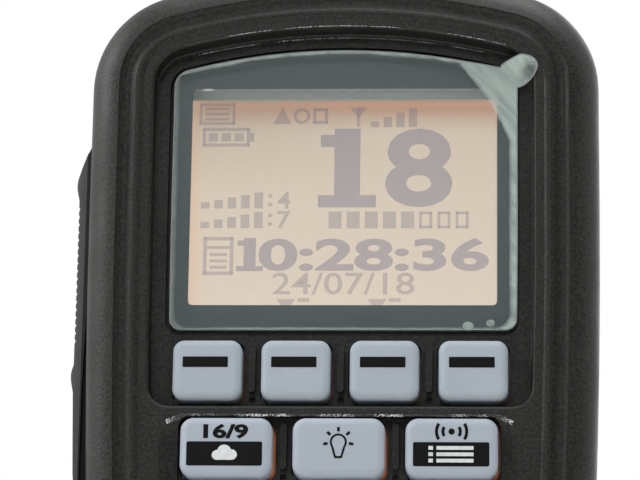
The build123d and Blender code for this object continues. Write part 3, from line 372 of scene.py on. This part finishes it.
def silicone(name, low, high, foot, painted_glow):
    """Silicone key rubber: pale grey-blue, matt.

    An amber glow is painted on as emission on its right-facing sides, most at the foot, which
    stands this many millimetres ahead of the parting plane. It stands in for the board's
    backlight.
    """
    constants = {"Emission Color": srgb("#b0683c"), "Specular IOR Level": 0.35}
    material, tree, shader, place = blank(name, constants)
    fine = add(tree, "ShaderNodeTexNoise", {"Vector": place, "Scale": per(0.22), "Detail": 2})
    patches = add(tree, "ShaderNodeTexNoise", {"Vector": place, "Scale": per(5), "Detail": 2})
    tint = add(
        tree,
        "ShaderNodeMix",
        {"Factor": patches, "A": srgb(low), "B": srgb(high)},
        data_type="RGBA",
    )
    depth = add(tree, "ShaderNodeSeparateXYZ", {"Vector": place}).outputs["Y"]
    deep = add(
        tree,
        "ShaderNodeMapRange",
        {"Value": depth, "From Min": (-foot - 2.4) * MM, "From Max": -foot * MM},
    )
    # Painted glow: only the sides that face right get the amber emission.
    facing = add(tree, "ShaderNodeNewGeometry").outputs["Normal"]
    facing = add(tree, "ShaderNodeSeparateXYZ", {"Vector": facing}).outputs["X"]
    right_glow = add(
        tree,
        "ShaderNodeMapRange",
        {"Value": facing, "From Min": 0.5, "From Max": 0.95, "To Max": painted_glow},
    )
    gloss = add(tree, "ShaderNodeMapRange", {"Value": fine, "To Min": 0.45, "To Max": 0.6})
    bump = add(tree, "ShaderNodeBump", {"Height": fine, "Distance": 0.005 * MM})
    lit = add(tree, "ShaderNodeMath", {0: deep, 1: right_glow}, operation="MULTIPLY")
    feed(shader, {"Base Color": tint, "Roughness": gloss, "Normal": bump})
    feed(shader, {"Emission Strength": lit})
    return material


# The last number is how strong the painted amber glow is.
soft_rubber = silicone("grey_key_silicone", "#b0bac4", "#b9c3cd", 9.0, 0.05)
pad_rubber = silicone("pale_key_silicone", "#b3bcc8", "#bbc4d0", 10.0, 0.42)


# ---------------------------------------------------------------- metals
def metal(name, colour, rough, stroke, depth):
    """Turned or rolled metal: fine marks from the tool in its gloss."""
    material, tree, shader, place = blank(name, {"Base Color": srgb(colour), "Metallic": 1})
    marks = add(tree, "ShaderNodeTexNoise", {"Vector": place, "Scale": per(stroke), "Detail": 4})
    gloss = add(
        tree, "ShaderNodeMapRange", {"Value": marks, "To Min": rough - 0.08, "To Max": rough + 0.1}
    )
    bump = add(tree, "ShaderNodeBump", {"Height": marks, "Distance": depth * MM})
    feed(shader, {"Roughness": gloss, "Normal": bump})
    return material


# Stainless steel, turned: bright, with a fine lay.
steel = metal("stainless_steel", "#b9b8b4", 0.28, 0.4, 0.003)
# Tinplate, drawn: softer and greyer.
tin = metal("tinned_steel", "#c3c3be", 0.38, 0.8, 0.004)
# Aluminium sheet as rolled.
aluminium = metal("rolled_aluminium", "#cfcfcd", 0.35, 0.6, 0.003)
# Zinc plating on iron: a dull silver.
iron = metal("zinc_plated_iron", "#a9a9a6", 0.4, 0.6, 0.004)


# ---------------------------------------------------------------- window, display and inks
def acrylic():
    """PMMA, polished: almost nothing shows of its faces, and its sawn edges are grey."""
    material, tree, shader, place = blank("clear_acrylic", {"Base Color": srgb("#39403f")})
    facing = add(tree, "ShaderNodeNewGeometry").outputs["Normal"]
    facing = add(tree, "ShaderNodeSeparateXYZ", {"Vector": facing}).outputs["Y"]
    flat = add(tree, "ShaderNodeMath", {0: facing}, operation="ABSOLUTE")
    alpha = add(
        tree,
        "ShaderNodeMapRange",
        {"Value": flat, "From Min": 0.2, "From Max": 0.9, "To Min": 0.7, "To Max": 0.03},
    )
    dust = add(tree, "ShaderNodeTexNoise", {"Vector": place, "Scale": per(0.8), "Detail": 3})
    gloss = add(tree, "ShaderNodeMapRange", {"Value": dust, "To Min": 0.04, "To Max": 0.10})
    feed(shader, {"Roughness": gloss, "Alpha": alpha})
    return material


def lit_display():
    """Positive LCD over its amber backlight: the panel glows, warmest where the lamps sit."""
    material, tree, shader, place = blank("backlit_lcd", {"Roughness": 0.4})
    spot = add(tree, "ShaderNodeSeparateXYZ", {"Vector": place}).outputs
    # The light guide reaches from 105 mm above the foot to 134.7 mm.
    up = add(
        tree,
        "ShaderNodeMapRange",
        {"Value": spot["Z"], "From Min": 105.0 * MM, "From Max": 134.7 * MM},
    )
    shade = add(tree, "ShaderNodeValToRGB", {"Fac": up})
    # Past the top of the light guide the last colour holds: the panel's unlit strip above it
    # glows, painted light standing in for what its glass reflects.
    stops = (
        (0.0, "#e4d1be"),
        (0.10, "#dfcebc"),
        (0.5, "#d9c9b6"),
        (0.84, "#d0bfac"),
        (0.90, "#c3ab97"),
        (0.955, "#b58e76"),
        (0.985, "#c3937a"),
        (1.0, "#9c8a7a"),
    )
    ramp = shade.color_ramp.elements
    while len(ramp) < len(stops):
        ramp.new(0.5)
    for element, (position, code) in zip(ramp, stops):
        element.position, element.color = position, srgb(code)
    # A thin warm rim at the left, where the light guide ends.
    rim = add(
        tree,
        "ShaderNodeMapRange",
        {
            "Value": spot["X"],
            "From Min": -21.2 * MM,
            "From Max": -19.4 * MM,
            "To Min": 0.55,
            "To Max": 0,
        },
    )
    warm = {"Factor": rim, "A": shade, "B": srgb("#e6c0a2")}
    light = add(tree, "ShaderNodeMix", warm, data_type="RGBA")
    # The upper left corner is farther from the lamps, and duller.
    left = add(
        tree,
        "ShaderNodeMapRange",
        {
            "Value": spot["X"],
            "From Min": -21 * MM,
            "From Max": 8 * MM,
            "To Min": 0.40,
            "To Max": 0,
        },
    )
    top = add(
        tree,
        "ShaderNodeMapRange",
        {"Value": spot["Z"], "From Min": 122 * MM, "From Max": 134 * MM},
    )
    dull = add(tree, "ShaderNodeMath", {0: left, 1: top}, operation="MULTIPLY")
    dim = {"Factor": dull, "A": light, "B": srgb("#9a8a77")}
    light = add(tree, "ShaderNodeMix", dim, data_type="RGBA")
    # The pixel grid is too fine to show, so it is drawn as a light grain.
    grain = add(tree, "ShaderNodeTexNoise", {"Vector": place, "Scale": per(0.35), "Detail": 1})
    level = add(tree, "ShaderNodeMapRange", {"Value": grain, "To Min": 0.93, "To Max": 1.07})
    light = add(
        tree,
        "ShaderNodeMix",
        {"Factor": 1.0, "A": light, "B": level},
        data_type="RGBA",
        blend_type="MULTIPLY",
    )
    feed(shader, {"Base Color": srgb("#1c1b1a"), "Emission Color": light, "Emission Strength": 1})
    return material


def ink(name, colour, rough, glow=0.0, alpha=1.0, specular=0.5):
    """Screen-printed ink, or liquid crystal that dims the light behind it, slightly uneven."""
    constants = {"Emission Strength": glow, "Alpha": alpha, "Specular IOR Level": specular}
    material, tree, shader, place = blank(name, constants)
    cloud = add(tree, "ShaderNodeTexNoise", {"Vector": place, "Scale": per(0.6), "Detail": 2})
    level = add(
        tree,
        "ShaderNodeMapRange",
        {"Value": cloud, "From Min": 0.3, "From Max": 0.7, "To Min": 0.92, "To Max": 1.08},
    )
    shade = add(
        tree,
        "ShaderNodeMix",
        {"Factor": 1.0, "A": srgb(colour), "B": level},
        data_type="RGBA",
        blend_type="MULTIPLY",
    )
    gloss = {"Value": cloud, "To Min": rough - 0.06, "To Max": rough + 0.06}
    feed(shader, {"Roughness": add(tree, "ShaderNodeMapRange", gloss)})
    if glow:
        feed(shader, {"Base Color": srgb("#1c1b1a"), "Emission Color": shade})
    else:
        feed(shader, {"Base Color": shade})
    return material


window_clear = acrylic()
lcd_glow = lit_display()
# Epoxy ink behind the window, a flat blue-black.
border_ink = ink("window_border_ink", "#354148", 0.35)
# Silicone ink, matt black, and its white.
black_ink = ink("black_key_ink", "#0f100f", 0.55, specular=0.15)
white_ink = ink("white_key_ink", "#e9edef", 0.5)
# Liquid crystal segments: they only dim the light behind them. The small ones dim it less.
segment_tint = ink("lcd_segments", "#5d6088", 0.5, glow=1.0, alpha=0.45, specular=0)
fine_tint = ink("lcd_fine_segments", "#5d6080", 0.5, glow=1.0, alpha=0.33, specular=0)
# Painted highlights on the film's cut edge, and on the bevelled edge of the clear view behind it.
film_edge_highlight = ink("film_edge_painted_highlight", "#cfd9d8", 0.3, alpha=0.3)
view_highlight_paint = ink("view_top_highlight_ink", "#e4e9e8", 0.2, alpha=0.45)


def glint_ink():
    """Painted glints for edges of the ABS: white spots that stand in for light the edges catch."""
    constants = {"Base Color": srgb("#e6eaec"), "Roughness": 0.3}
    material, tree, shader, place = blank("abs_edge_painted_glints", constants)
    spots = add(tree, "ShaderNodeTexNoise", {"Vector": place, "Scale": per(0.15), "Detail": 1})
    spots = add(tree, "ShaderNodeMapRange", {"Value": spots, "From Min": 0.46, "From Max": 0.56})
    # The painted glints come in runs, with bare stretches between.
    runs = add(tree, "ShaderNodeTexNoise", {"Vector": place, "Scale": per(3.5), "Detail": 1})
    runs = add(
        tree,
        "ShaderNodeMapRange",
        {"Value": runs, "From Min": 0.38, "From Max": 0.58, "To Min": 0.1, "To Max": 1},
    )
    alpha = add(tree, "ShaderNodeMath", {0: spots, 1: runs}, operation="MULTIPLY")
    feed(shader, {"Alpha": alpha})
    return material


glint_paint = glint_ink()


# ---------------------------------------------------------------- protective film
def wavered(tree, place):
    """Coordinates flat on the film, which wander by a fifth of a millimetre."""
    waver = {"Vector": place, "Scale": per(2.5), "Detail": 2}
    waver = add(tree, "ShaderNodeTexNoise", waver).outputs["Color"]
    waver = add(tree, "ShaderNodeVectorMath", {0: waver, 1: (0.5, 0.5, 0.5)}, operation="SUBTRACT")
    waver = add(tree, "ShaderNodeVectorMath", {0: waver, "Scale": 0.4 * MM}, operation="SCALE")
    spot = add(tree, "ShaderNodeVectorMath", {0: place, 1: waver}, operation="ADD")
    return add(tree, "ShaderNodeVectorMath", {0: spot, 1: (1, 0, 1)}, operation="MULTIPLY")


def loose_arcs(tree, spot):
    """Where the film has let go outside an arc: towards the pull tab, and along the crown."""
    tab = ((-9.2, 0, 115.1), 34.0, 0.6)
    crown = ((0, 0, ARCH_Z), 84.75, 0.45)
    loose = []
    for centre, radius, soft in (tab, crown):
        reach = add(
            tree,
            "ShaderNodeVectorMath",
            {0: spot, 1: tuple(c * MM for c in centre)},
            operation="DISTANCE",
        )
        edge = {"Value": reach, "From Min": radius * MM, "From Max": (radius + soft) * MM}
        loose.append(add(tree, "ShaderNodeMapRange", edge))
    return loose


def loose_strip(tree, spot, place):
    """Where it has let go along its two sides and its bottom, round the corners.

    The strip is the outside of a tall rounded box whose top is far above the window, and it is
    faint at the left.
    """
    off = add(tree, "ShaderNodeVectorMath", {0: spot, 1: (0, 0, 161.4 * MM)}, operation="SUBTRACT")
    off = add(tree, "ShaderNodeVectorMath", {0: off}, operation="ABSOLUTE")
    off = add(
        tree, "ShaderNodeVectorMath", {0: off, 1: (20.75 * MM, 0, 58.2 * MM)}, operation="SUBTRACT"
    )
    off = add(tree, "ShaderNodeVectorMath", {0: off, 1: (0, 0, 0)}, operation="MAXIMUM")
    off = add(tree, "ShaderNodeVectorMath", {0: off}, operation="LENGTH")
    across = add(tree, "ShaderNodeSeparateXYZ", {"Vector": place}).outputs["X"]
    faint = add(
        tree,
        "ShaderNodeMapRange",
        {"Value": across, "From Min": -22 * MM, "From Max": -14 * MM, "To Min": 0.35},
    )
    strip = {"Value": off, "From Min": 1.8 * MM, "From Max": 2.4 * MM, "To Max": faint}
    return add(tree, "ShaderNodeMapRange", strip)


def film(name, everywhere=False):
    """PET film on the window: clear where it clings, milky where air has got under it."""
    material, tree, shader, place = blank(name, {"Base Color": srgb("#d9e9e2")})
    spot = wavered(tree, place)
    arc, *others = [*loose_arcs(tree, spot), loose_strip(tree, spot, place)]
    milk = 1.0 if everywhere else arc
    for part in others:
        milk = add(tree, "ShaderNodeMath", {0: milk, 1: part}, operation="MAXIMUM")
    # Folds in the loose part run across the pull.
    turned = add(
        tree,
        "ShaderNodeMapping",
        {"Vector": place, "Rotation": (0, math.radians(-44), 0), "Scale": (1.1 * MM, MM, 7 * MM)},
        vector_type="TEXTURE",
    )
    folds = add(tree, "ShaderNodeTexNoise", {"Vector": turned, "Scale": 1, "Detail": 2})
    thick = add(
        tree,
        "ShaderNodeMapRange",
        {"Value": folds, "From Min": 0.3, "From Max": 0.7, "To Min": 0.33, "To Max": 0.57},
    )
    # Painted shade at the tab's far end: the film is made clearer there, so the dark well shows
    # through.
    tab_shade_patch = add(
        tree,
        "ShaderNodeVectorMath",
        {0: spot, 1: (25.5 * MM, 0, 136.6 * MM)},
        operation="DISTANCE",
    )
    tab_shade_patch = add(
        tree,
        "ShaderNodeMapRange",
        {"Value": tab_shade_patch, "From Min": 0.5 * MM, "From Max": 1.9 * MM, "To Min": 0.25},
    )
    thick = add(tree, "ShaderNodeMath", {0: thick, 1: tab_shade_patch}, operation="MULTIPLY")
    alpha = add(tree, "ShaderNodeMix", {"Factor": milk, "A": 0.04, "B": thick})
    gloss = add(tree, "ShaderNodeMapRange", {"Value": folds, "To Min": 0.22, "To Max": 0.40})
    bump = add(tree, "ShaderNodeBump", {"Height": folds, "Distance": 0.10 * MM, "Strength": milk})
    feed(shader, {"Alpha": alpha, "Roughness": gloss, "Normal": bump})
    return material


clinging_film = film("cloudy_pet_film")
bubble_film = film("milky_pet_film", everywhere=True)

# ---------------------------------------------------------------- finishes of the CAD nodes
finishes = {
    "front_cover": shell_abs,
    "rear_cover": shell_abs,
    "cover_seal": dark_rubber,
    "cover_screws": steel,
    "window_tape": tape_black,
    "display_window": window_clear,
    "lcd_panel": lcd_glow,
    "backlight_guide": guide,
    "lcd_frame": frame_grey,
    "keypad_membrane": soft_rubber,
    "key_domes": steel,
    "main_board": board_green,
    "board_screws": steel,
    "board_shield": tin,
    "processor_chip": chip_epoxy,
    "cable_socket": inner_plastic,
    "speaker_mesh": cloth_black,
    "speaker_frame": tin,
    "speaker_cone": cone_film,
    "speaker_magnet": iron,
    "mic_boot": dark_rubber,
    "mic_capsule": aluminium,
    "talk_lever": lever_tpe,
    "talk_pivot_pin": steel,
    "talk_plunger": inner_plastic,
    "talk_switch": chip_epoxy,
    "hang_up_button": steel,
    "hang_up_screw": steel,
    "distress_lid": lid_red,
    "distress_hinge_pin": steel,
    "distress_spring": steel,
    "distress_button": button_red,
    "distress_switch": chip_epoxy,
    "cord_gland": dark_rubber,
    "screen_film": clinging_film,
}
for i in range(1, 5):
    finishes[f"soft_key_{i}"] = soft_rubber
for name in ("channel", "lamp", "menu", "clear", "up", "enter", "calling", "down", "power"):
    finishes[f"{name}_key"] = pad_rubber
for name, material in finishes.items():
    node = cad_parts[name]
    if not node.material_slots:
        node.data.materials.append(material)
    for slot in node.material_slots:
        slot.material = material


# ---------------------------------------------------------------- window, film and painted glints
def window_border():
    """The border is printed on the back of the window, round the clear view."""
    sheet = flat_front("display_window")
    plate(sheet, VIEW_WIDE, VIEW_TALL, 0.6, at=(0, VIEW_Z))
    bmesh.ops.delete(sheet, geom=list(sheet.faces), context="FACES_ONLY")
    bmesh.ops.triangle_fill(sheet, use_beauty=True, edges=sheet.edges)
    stand(sheet, "window_border", front("display_window") - WINDOW_T + 0.04, border_ink)


def painted_view_line():
    """A painted highlight along the bevelled top edge of the clear view, and a painted glint at
    its left.
    """
    thick = 0.16
    top = VIEW_Z + (VIEW_TALL - thick) / 2
    sheet = bmesh.new()
    plate(sheet, VIEW_WIDE - 1.4, thick, at=(0, top))
    stand(sheet, "painted_view_line", front("display_window") - WINDOW_T + 0.06, view_highlight_paint)
    # The glint at the left end is a painted glint, in the keys' white ink.
    sheet = bmesh.new()
    disc(sheet, 0.5)
    bmesh.ops.scale(sheet, verts=sheet.verts, vec=(1.6, 0.36, 1))
    depth = front("display_window") - WINDOW_T + 0.08
    stand(sheet, "painted_view_glint", depth, white_ink, at=(-18.9, top))


def peeled_film():
    """The film lifts off towards its pull tab, whose end lies on the edge of the well."""
    sheet = flat_front("screen_film")
    # The rim round the film gets a painted highlight, the light its cut edge catches.
    rim = bmesh.ops.inset_region(
        sheet, faces=sheet.faces, thickness=0.16, use_boundary=True, use_even_offset=True
    )
    for face in rim["faces"]:
        face.material_index = 1
    tab_angle = math.radians(34)
    pull = Vector((math.cos(tab_angle), math.sin(tab_angle), 0))
    bend = Vector((22.6, 136.9, 0))
    # Strips across the pull let it bend.
    for step in range(-14, 16):
        whole = [*sheet.verts, *sheet.edges, *sheet.faces]
        cut = bend + pull * step * 0.36
        bmesh.ops.bisect_plane(sheet, geom=whole, plane_co=cut, plane_no=pull)
    half_width, clung, raised, highest = 23.45, 5, 0.6, 2.95
    for v in sheet.verts:
        # The film was laid with its right edge 0.4 mm too far out.
        v.co.x *= 1 + max(0, v.co.x) / half_width * 0.016
        past = (v.co - bend).dot(pull)
        if past > 0:
            rise = min(raised + 0.24 * past + 0.6 * past**2, highest)
            v.co += Vector((0.45 * past, 0.03 * past, rise))
        elif past > -clung:
            v.co.z += raised * ((past + clung) / clung) ** 2
    film_sheet = stand(sheet, "film_sheet", front("screen_film") + 0.01, clinging_film)
    film_sheet.data.materials.append(film_edge_highlight)
    thickness = film_sheet.modifiers.new("thickness", "SOLIDIFY")
    thickness.thickness, thickness.material_offset_rim = 0.10 * MM, 1
    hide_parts("screen_film")


def film_bubbles():
    """Two small air bubbles under the film, each the near half of a flat ball."""
    for i, (x, z, size) in enumerate(((17.1, 101.5, 0.75), (20.1, 101.9, 0.6)), 1):
        sheet = bmesh.new()
        bmesh.ops.create_uvsphere(sheet, u_segments=20, v_segments=10, radius=size)
        bmesh.ops.scale(sheet, verts=sheet.verts, vec=(1.0, 0.8, 0.15))
        far_half = [v for v in sheet.verts if v.co.z < -0.001]
        bmesh.ops.delete(sheet, geom=far_half, context="VERTS")
        # The ball comes with its faces in another order each run, so they are put in one order.
        sheet.faces.sort(key=lambda face: face.calc_center_median().dot((1, 7, 49)))
        depth = front("screen_film") + 0.015
        stand(sheet, f"film_bubble_{i}", depth, bubble_film, at=(x, z))


def painted_edge_glints():
    """Painted glints on edges: round the top of the display well and its foot, and on the keypad.
    """
    for i, (radius, depth, sweep) in enumerate(((88.25, 12.62, 29), (87.45, 9.62, 27)), 1):
        sheet = bmesh.new()
        ring(sheet, radius, 0.11, start=90 - sweep / 2, sweep=sweep)
        stand(sheet, f"painted_edge_glint_{i}", depth, glint_paint, at=(0, ARCH_Z))
    keypad_top = 88.8
    sheet = bmesh.new()
    plate(sheet, 41.4, 0.34, at=(0, keypad_top))
    for side in (-1, 1):
        bar(sheet, (side * 20.8, keypad_top + 0.05), (side * 23.1, keypad_top - 0.95), 0.6)
    stand(sheet, "painted_edge_glint_3", 12.67, glint_paint)


window_border()
peeled_film()
film_bubbles()
painted_view_line()
painted_edge_glints()


# ---------------------------------------------------------------- what the display shows
def lcd_numbers():
    """A channel number, and the time."""
    sheet = bmesh.new()
    digits(sheet, "8", 11.3, 9.3, (10.2, 124.95), bold=0.32)
    digits(sheet, "0:28:36", 4.7, 31.7, (4.05, 112.6), bold=0.14)
    figure_one(sheet, 11.3, 8.0, (0.3, 119.3))
    figure_one(sheet, 4.7, 3.7, (-13.0, 110.25))
    stand(sheet, "lcd_numbers", front("lcd_panel") + 0.03, segment_tint)


def message_tray(sheet, x, y):
    """A box with three lines in it."""
    box_of_bars(sheet, 5.0, 3.1, 0.4, (x, y))
    for row in (-0.75, 0.0, 0.75):
        plate(sheet, 3.4, 0.36, at=(x, y + row))


def battery(sheet, x, y):
    """A battery with three cells."""
    box_of_bars(sheet, 6.6, 2.7, 0.45, (x, y))
    plate(sheet, 0.6, 1.3, at=(x + 3.6, y))
    for cell in (-1, 0, 1):
        plate(sheet, 1.3, 1.2, at=(x + 1.8 * cell, y))


def aerial(sheet, x, y):
    """An aerial, with four bars that grow to its right."""
    tri(sheet, 2.3, -1.6, (x, y + 0.8))
    plate(sheet, 0.45, 2.9, at=(x, y))
    for step in range(4):
        plate(sheet, 1.15, 0.8 + 0.65 * step, at=(x + 2.3 + 1.75 * step, y - 1.1 + 0.325 * step))


def level_row(sheet, y, number):
    """Five bars that grow to the right, a colon and a number."""
    for step in range(5):
        plate(sheet, 1.2, 0.9 + 0.35 * step, at=(-19.3 + 1.85 * step, y - 0.75 + 0.175 * step))
    for dot in (-0.6, 0.6):
        plate(sheet, 0.5, 0.5, at=(-10.3, y + dot))
    digits(sheet, number, 2.5, 1.8, (-8.4, y), bold=0.05)


def meter(sheet, x, y):
    """A row of eight cells, five of them full."""
    for cell in range(8):
        at = (x + 2.5 * cell, y)
        if cell < 5:
            plate(sheet, 1.8, 2.4, at=at)
        else:
            box_of_bars(sheet, 1.8, 2.4, 0.4, at)


def page(sheet, x, y):
    """A page with four lines of writing."""
    box_of_bars(sheet, 4.2, 5.4, 0.5, (x, y))
    for row, wide in ((1.2, 3.2), (0.2, 2.4), (-0.7, 2.4), (-1.6, 2.4)):
        plate(sheet, wide, 0.4, at=(x, y + row))


def lcd_marks():
    """The date, and plain icons."""
    sheet = bmesh.new()
    digits(sheet, "24/07/18", 3.1, 19.5, (-0.05, 108.5), bold=0.02)
    message_tray(sheet, -17.9, 132.75)
    battery(sheet, -16.6, 129.4)
    # The three marks of the watch mode.
    tri(sheet, 2.5, 2.4, (-8.8, 132.1))
    ring(sheet, 0.95, 0.45, (-6.1, 132.45))
    box_of_bars(sheet, 2.1, 2.3, 0.45, (-3.5, 132.45))
    aerial(sheet, 1.8, 132.3)
    level_row(sheet, 120.35, "4")
    level_row(sheet, 117.55, "7")
    meter(sheet, -1.3, 117.5)
    page(sheet, -17.35, 112.4)
    # Two arrows that point at the keys below.
    for x in (-7.9, 4.6):
        tri(sheet, 2.6, -1.9, (x, 105.7))
        plate(sheet, 1.6, 0.5, at=(x + 2.4, 106.2))
    stand(sheet, "lcd_marks", front("lcd_panel") + 0.03, fine_tint)


lcd_numbers()
lcd_marks()


# ---------------------------------------------------------------- key legends
LABEL = (10.1, 3.25, 0.25)  # the black panel on two keys: its width, its height and its corners
STROKE = 0.5  # of the plain signs


def legend(key, sheet, colour=black_ink, off=(0, 0), suffix="print", proud=0.02):
    """Puts a drawn sheet on a key's top, off its middle by so much."""
    x, z = middle(key)
    at = (x + off[0], z + off[1])
    stand(sheet, f"{key}_{suffix}", front(key) + proud, colour, f"{key}_body", at)


def soft_key_dashes():
    """A dash on each key under the display."""
    for i in range(1, 5):
        sheet = bmesh.new()
        plate(sheet, 6.1, 1.45, 0.1)
        legend(f"soft_key_{i}", sheet, off=(-0.2, 1.0))


def channel_legend():
    """The number pair of the calling channels, over a cloud for the weather channels."""
    sheet = bmesh.new()
    digits(sheet, "16/9", 2.0, 6.0, (0, 2.05), bold=0.08)
    plate(sheet, *LABEL, at=(-0.15, -0.95))
    legend("channel_key", sheet)
    # Three puffs, each an arc that runs clockwise, and a flat foot between the last and the first.
    puffs = (
        (-1.0, -0.25, 0.65, 270, 110),
        (0.0, 0.2, 0.95, 165, 20),
        (1.0, -0.2, 0.7, 80, -90),
    )
    sheet = bmesh.new()
    outline = []
    for x, y, radius, start, end in puffs:
        for i in range(9):
            angle = math.radians(start + (end - start) * i / 8)
            outline.append((x + radius * math.cos(angle), y + radius * math.sin(angle), 0))
    sheet.faces.new([sheet.verts.new(point) for point in outline])
    legend("channel_key", sheet, white_ink, (-0.15, -0.9), "mark", 0.03)


def lamp_legend():
    """An electric bulb with five rays: the key lamps."""
    centre = Vector((0, 0.65))
    sheet = bmesh.new()
    ring(sheet, 1.0, 0.28, centre, start=-38, sweep=256)
    for side in (-1, 1):
        bar(sheet, (side * 0.80, 0.02), (side * 0.42, -1.35), 0.28)
    bar(sheet, (-0.52, -1.38), (0.52, -1.38), 0.30)
    for angle in (-8, 42, 90, 138, 188):
        aim = Vector((math.cos(math.radians(angle)), math.sin(math.radians(angle))))
        bar(sheet, aim * 1.42 + centre, aim * 2.02 + centre, 0.38)
    legend("lamp_key", sheet)


def menu_legend():
    """A calling mark, over a list."""
    centre = (0, 2.1)
    sheet = bmesh.new()
    disc(sheet, 0.42, centre)
    for radius in (1.15, 2.0):
        for side in (0, 180):
            ring(sheet, radius, 0.42, centre, start=side - 32, sweep=64)
    plate(sheet, *LABEL, at=(-0.05, -0.95))
    legend("menu_key", sheet)
    sheet = bmesh.new()
    for row in (-0.85, 0, 0.85):
        plate(sheet, 0.6, STROKE, at=(-2.7, row))
        plate(sheet, 4.9, STROKE, at=(0.5, row))
    legend("menu_key", sheet, white_ink, (-0.05, -0.95), "mark", 0.03)


def clear_legend():
    """A cross."""
    sheet = bmesh.new()
    for side in (-1, 1):
        bar(sheet, (-1.2 * side, -1.2), (1.2 * side, 1.2), 0.55)
    legend("clear_key", sheet)


def arrow_legends():
    """A solid arrow head up, and one down."""
    for key, tall in (("up_key", 2.6), ("down_key", -2.6)):
        sheet = bmesh.new()
        tri(sheet, 3.4, tall)
        legend(key, sheet)


def enter_legend():
    """A bent arrow that ends at the left."""
    line, tip = -0.4, -1.75
    sheet = bmesh.new()
    bar(sheet, (1.6, 1.2), (1.6, line - STROKE / 2), STROKE)
    bar(sheet, (1.85, line), (tip + 0.15, line), STROKE)
    for side in (-1, 1):
        bar(sheet, (tip, line), (tip + 1.0, line + side * 0.95), STROKE)
    legend("enter_key", sheet)


def calling_legend():
    """A telephone receiver."""
    sheet = bmesh.new()
    ring(sheet, 2.4, 0.75, (0, -1.6), start=38, sweep=104)
    for side in (-1, 1):
        plate(sheet, 1.1, 1.25, 0.2, at=(side * 1.85, -0.35), turn=side * -38)
    legend("calling_key", sheet)


def power_legend():
    """An open ring with a stroke in its gap."""
    sheet = bmesh.new()
    ring(sheet, 1.4, 0.42, start=122, sweep=296)
    bar(sheet, (0, 0.3), (0, 1.9), 0.45)
    legend("power_key", sheet)


soft_key_dashes()
channel_legend()
lamp_legend()
menu_legend()
clear_legend()
arrow_legends()
enter_legend()
calling_legend()
power_legend()


# ---------------------------------------------------------------- floor
def lay_floor():
    """A broad flat floor in a pale matt paint, very slightly uneven in tone."""
    sheet = bmesh.new()
    bmesh.ops.create_grid(sheet, x_segments=1, y_segments=1, size=1.5)
    mesh = bpy.data.meshes.new("floor")
    sheet.to_mesh(mesh)
    sheet.free()
    floor = bpy.data.objects.new("floor", mesh)
    bpy.context.collection.objects.link(floor)
    floor_paint, tree, shader, place = blank("pale_matt_paint", {"Roughness": 0.8})
    cloud = add(tree, "ShaderNodeTexNoise", {"Vector": place, "Scale": per(40)})
    tone = {"Factor": cloud, "A": srgb("#e9e9e7"), "B": srgb("#f1f1ef")}
    feed(shader, {"Base Color": add(tree, "ShaderNodeMix", tone, data_type="RGBA")})
    mesh.materials.append(floor_paint)


lay_floor()
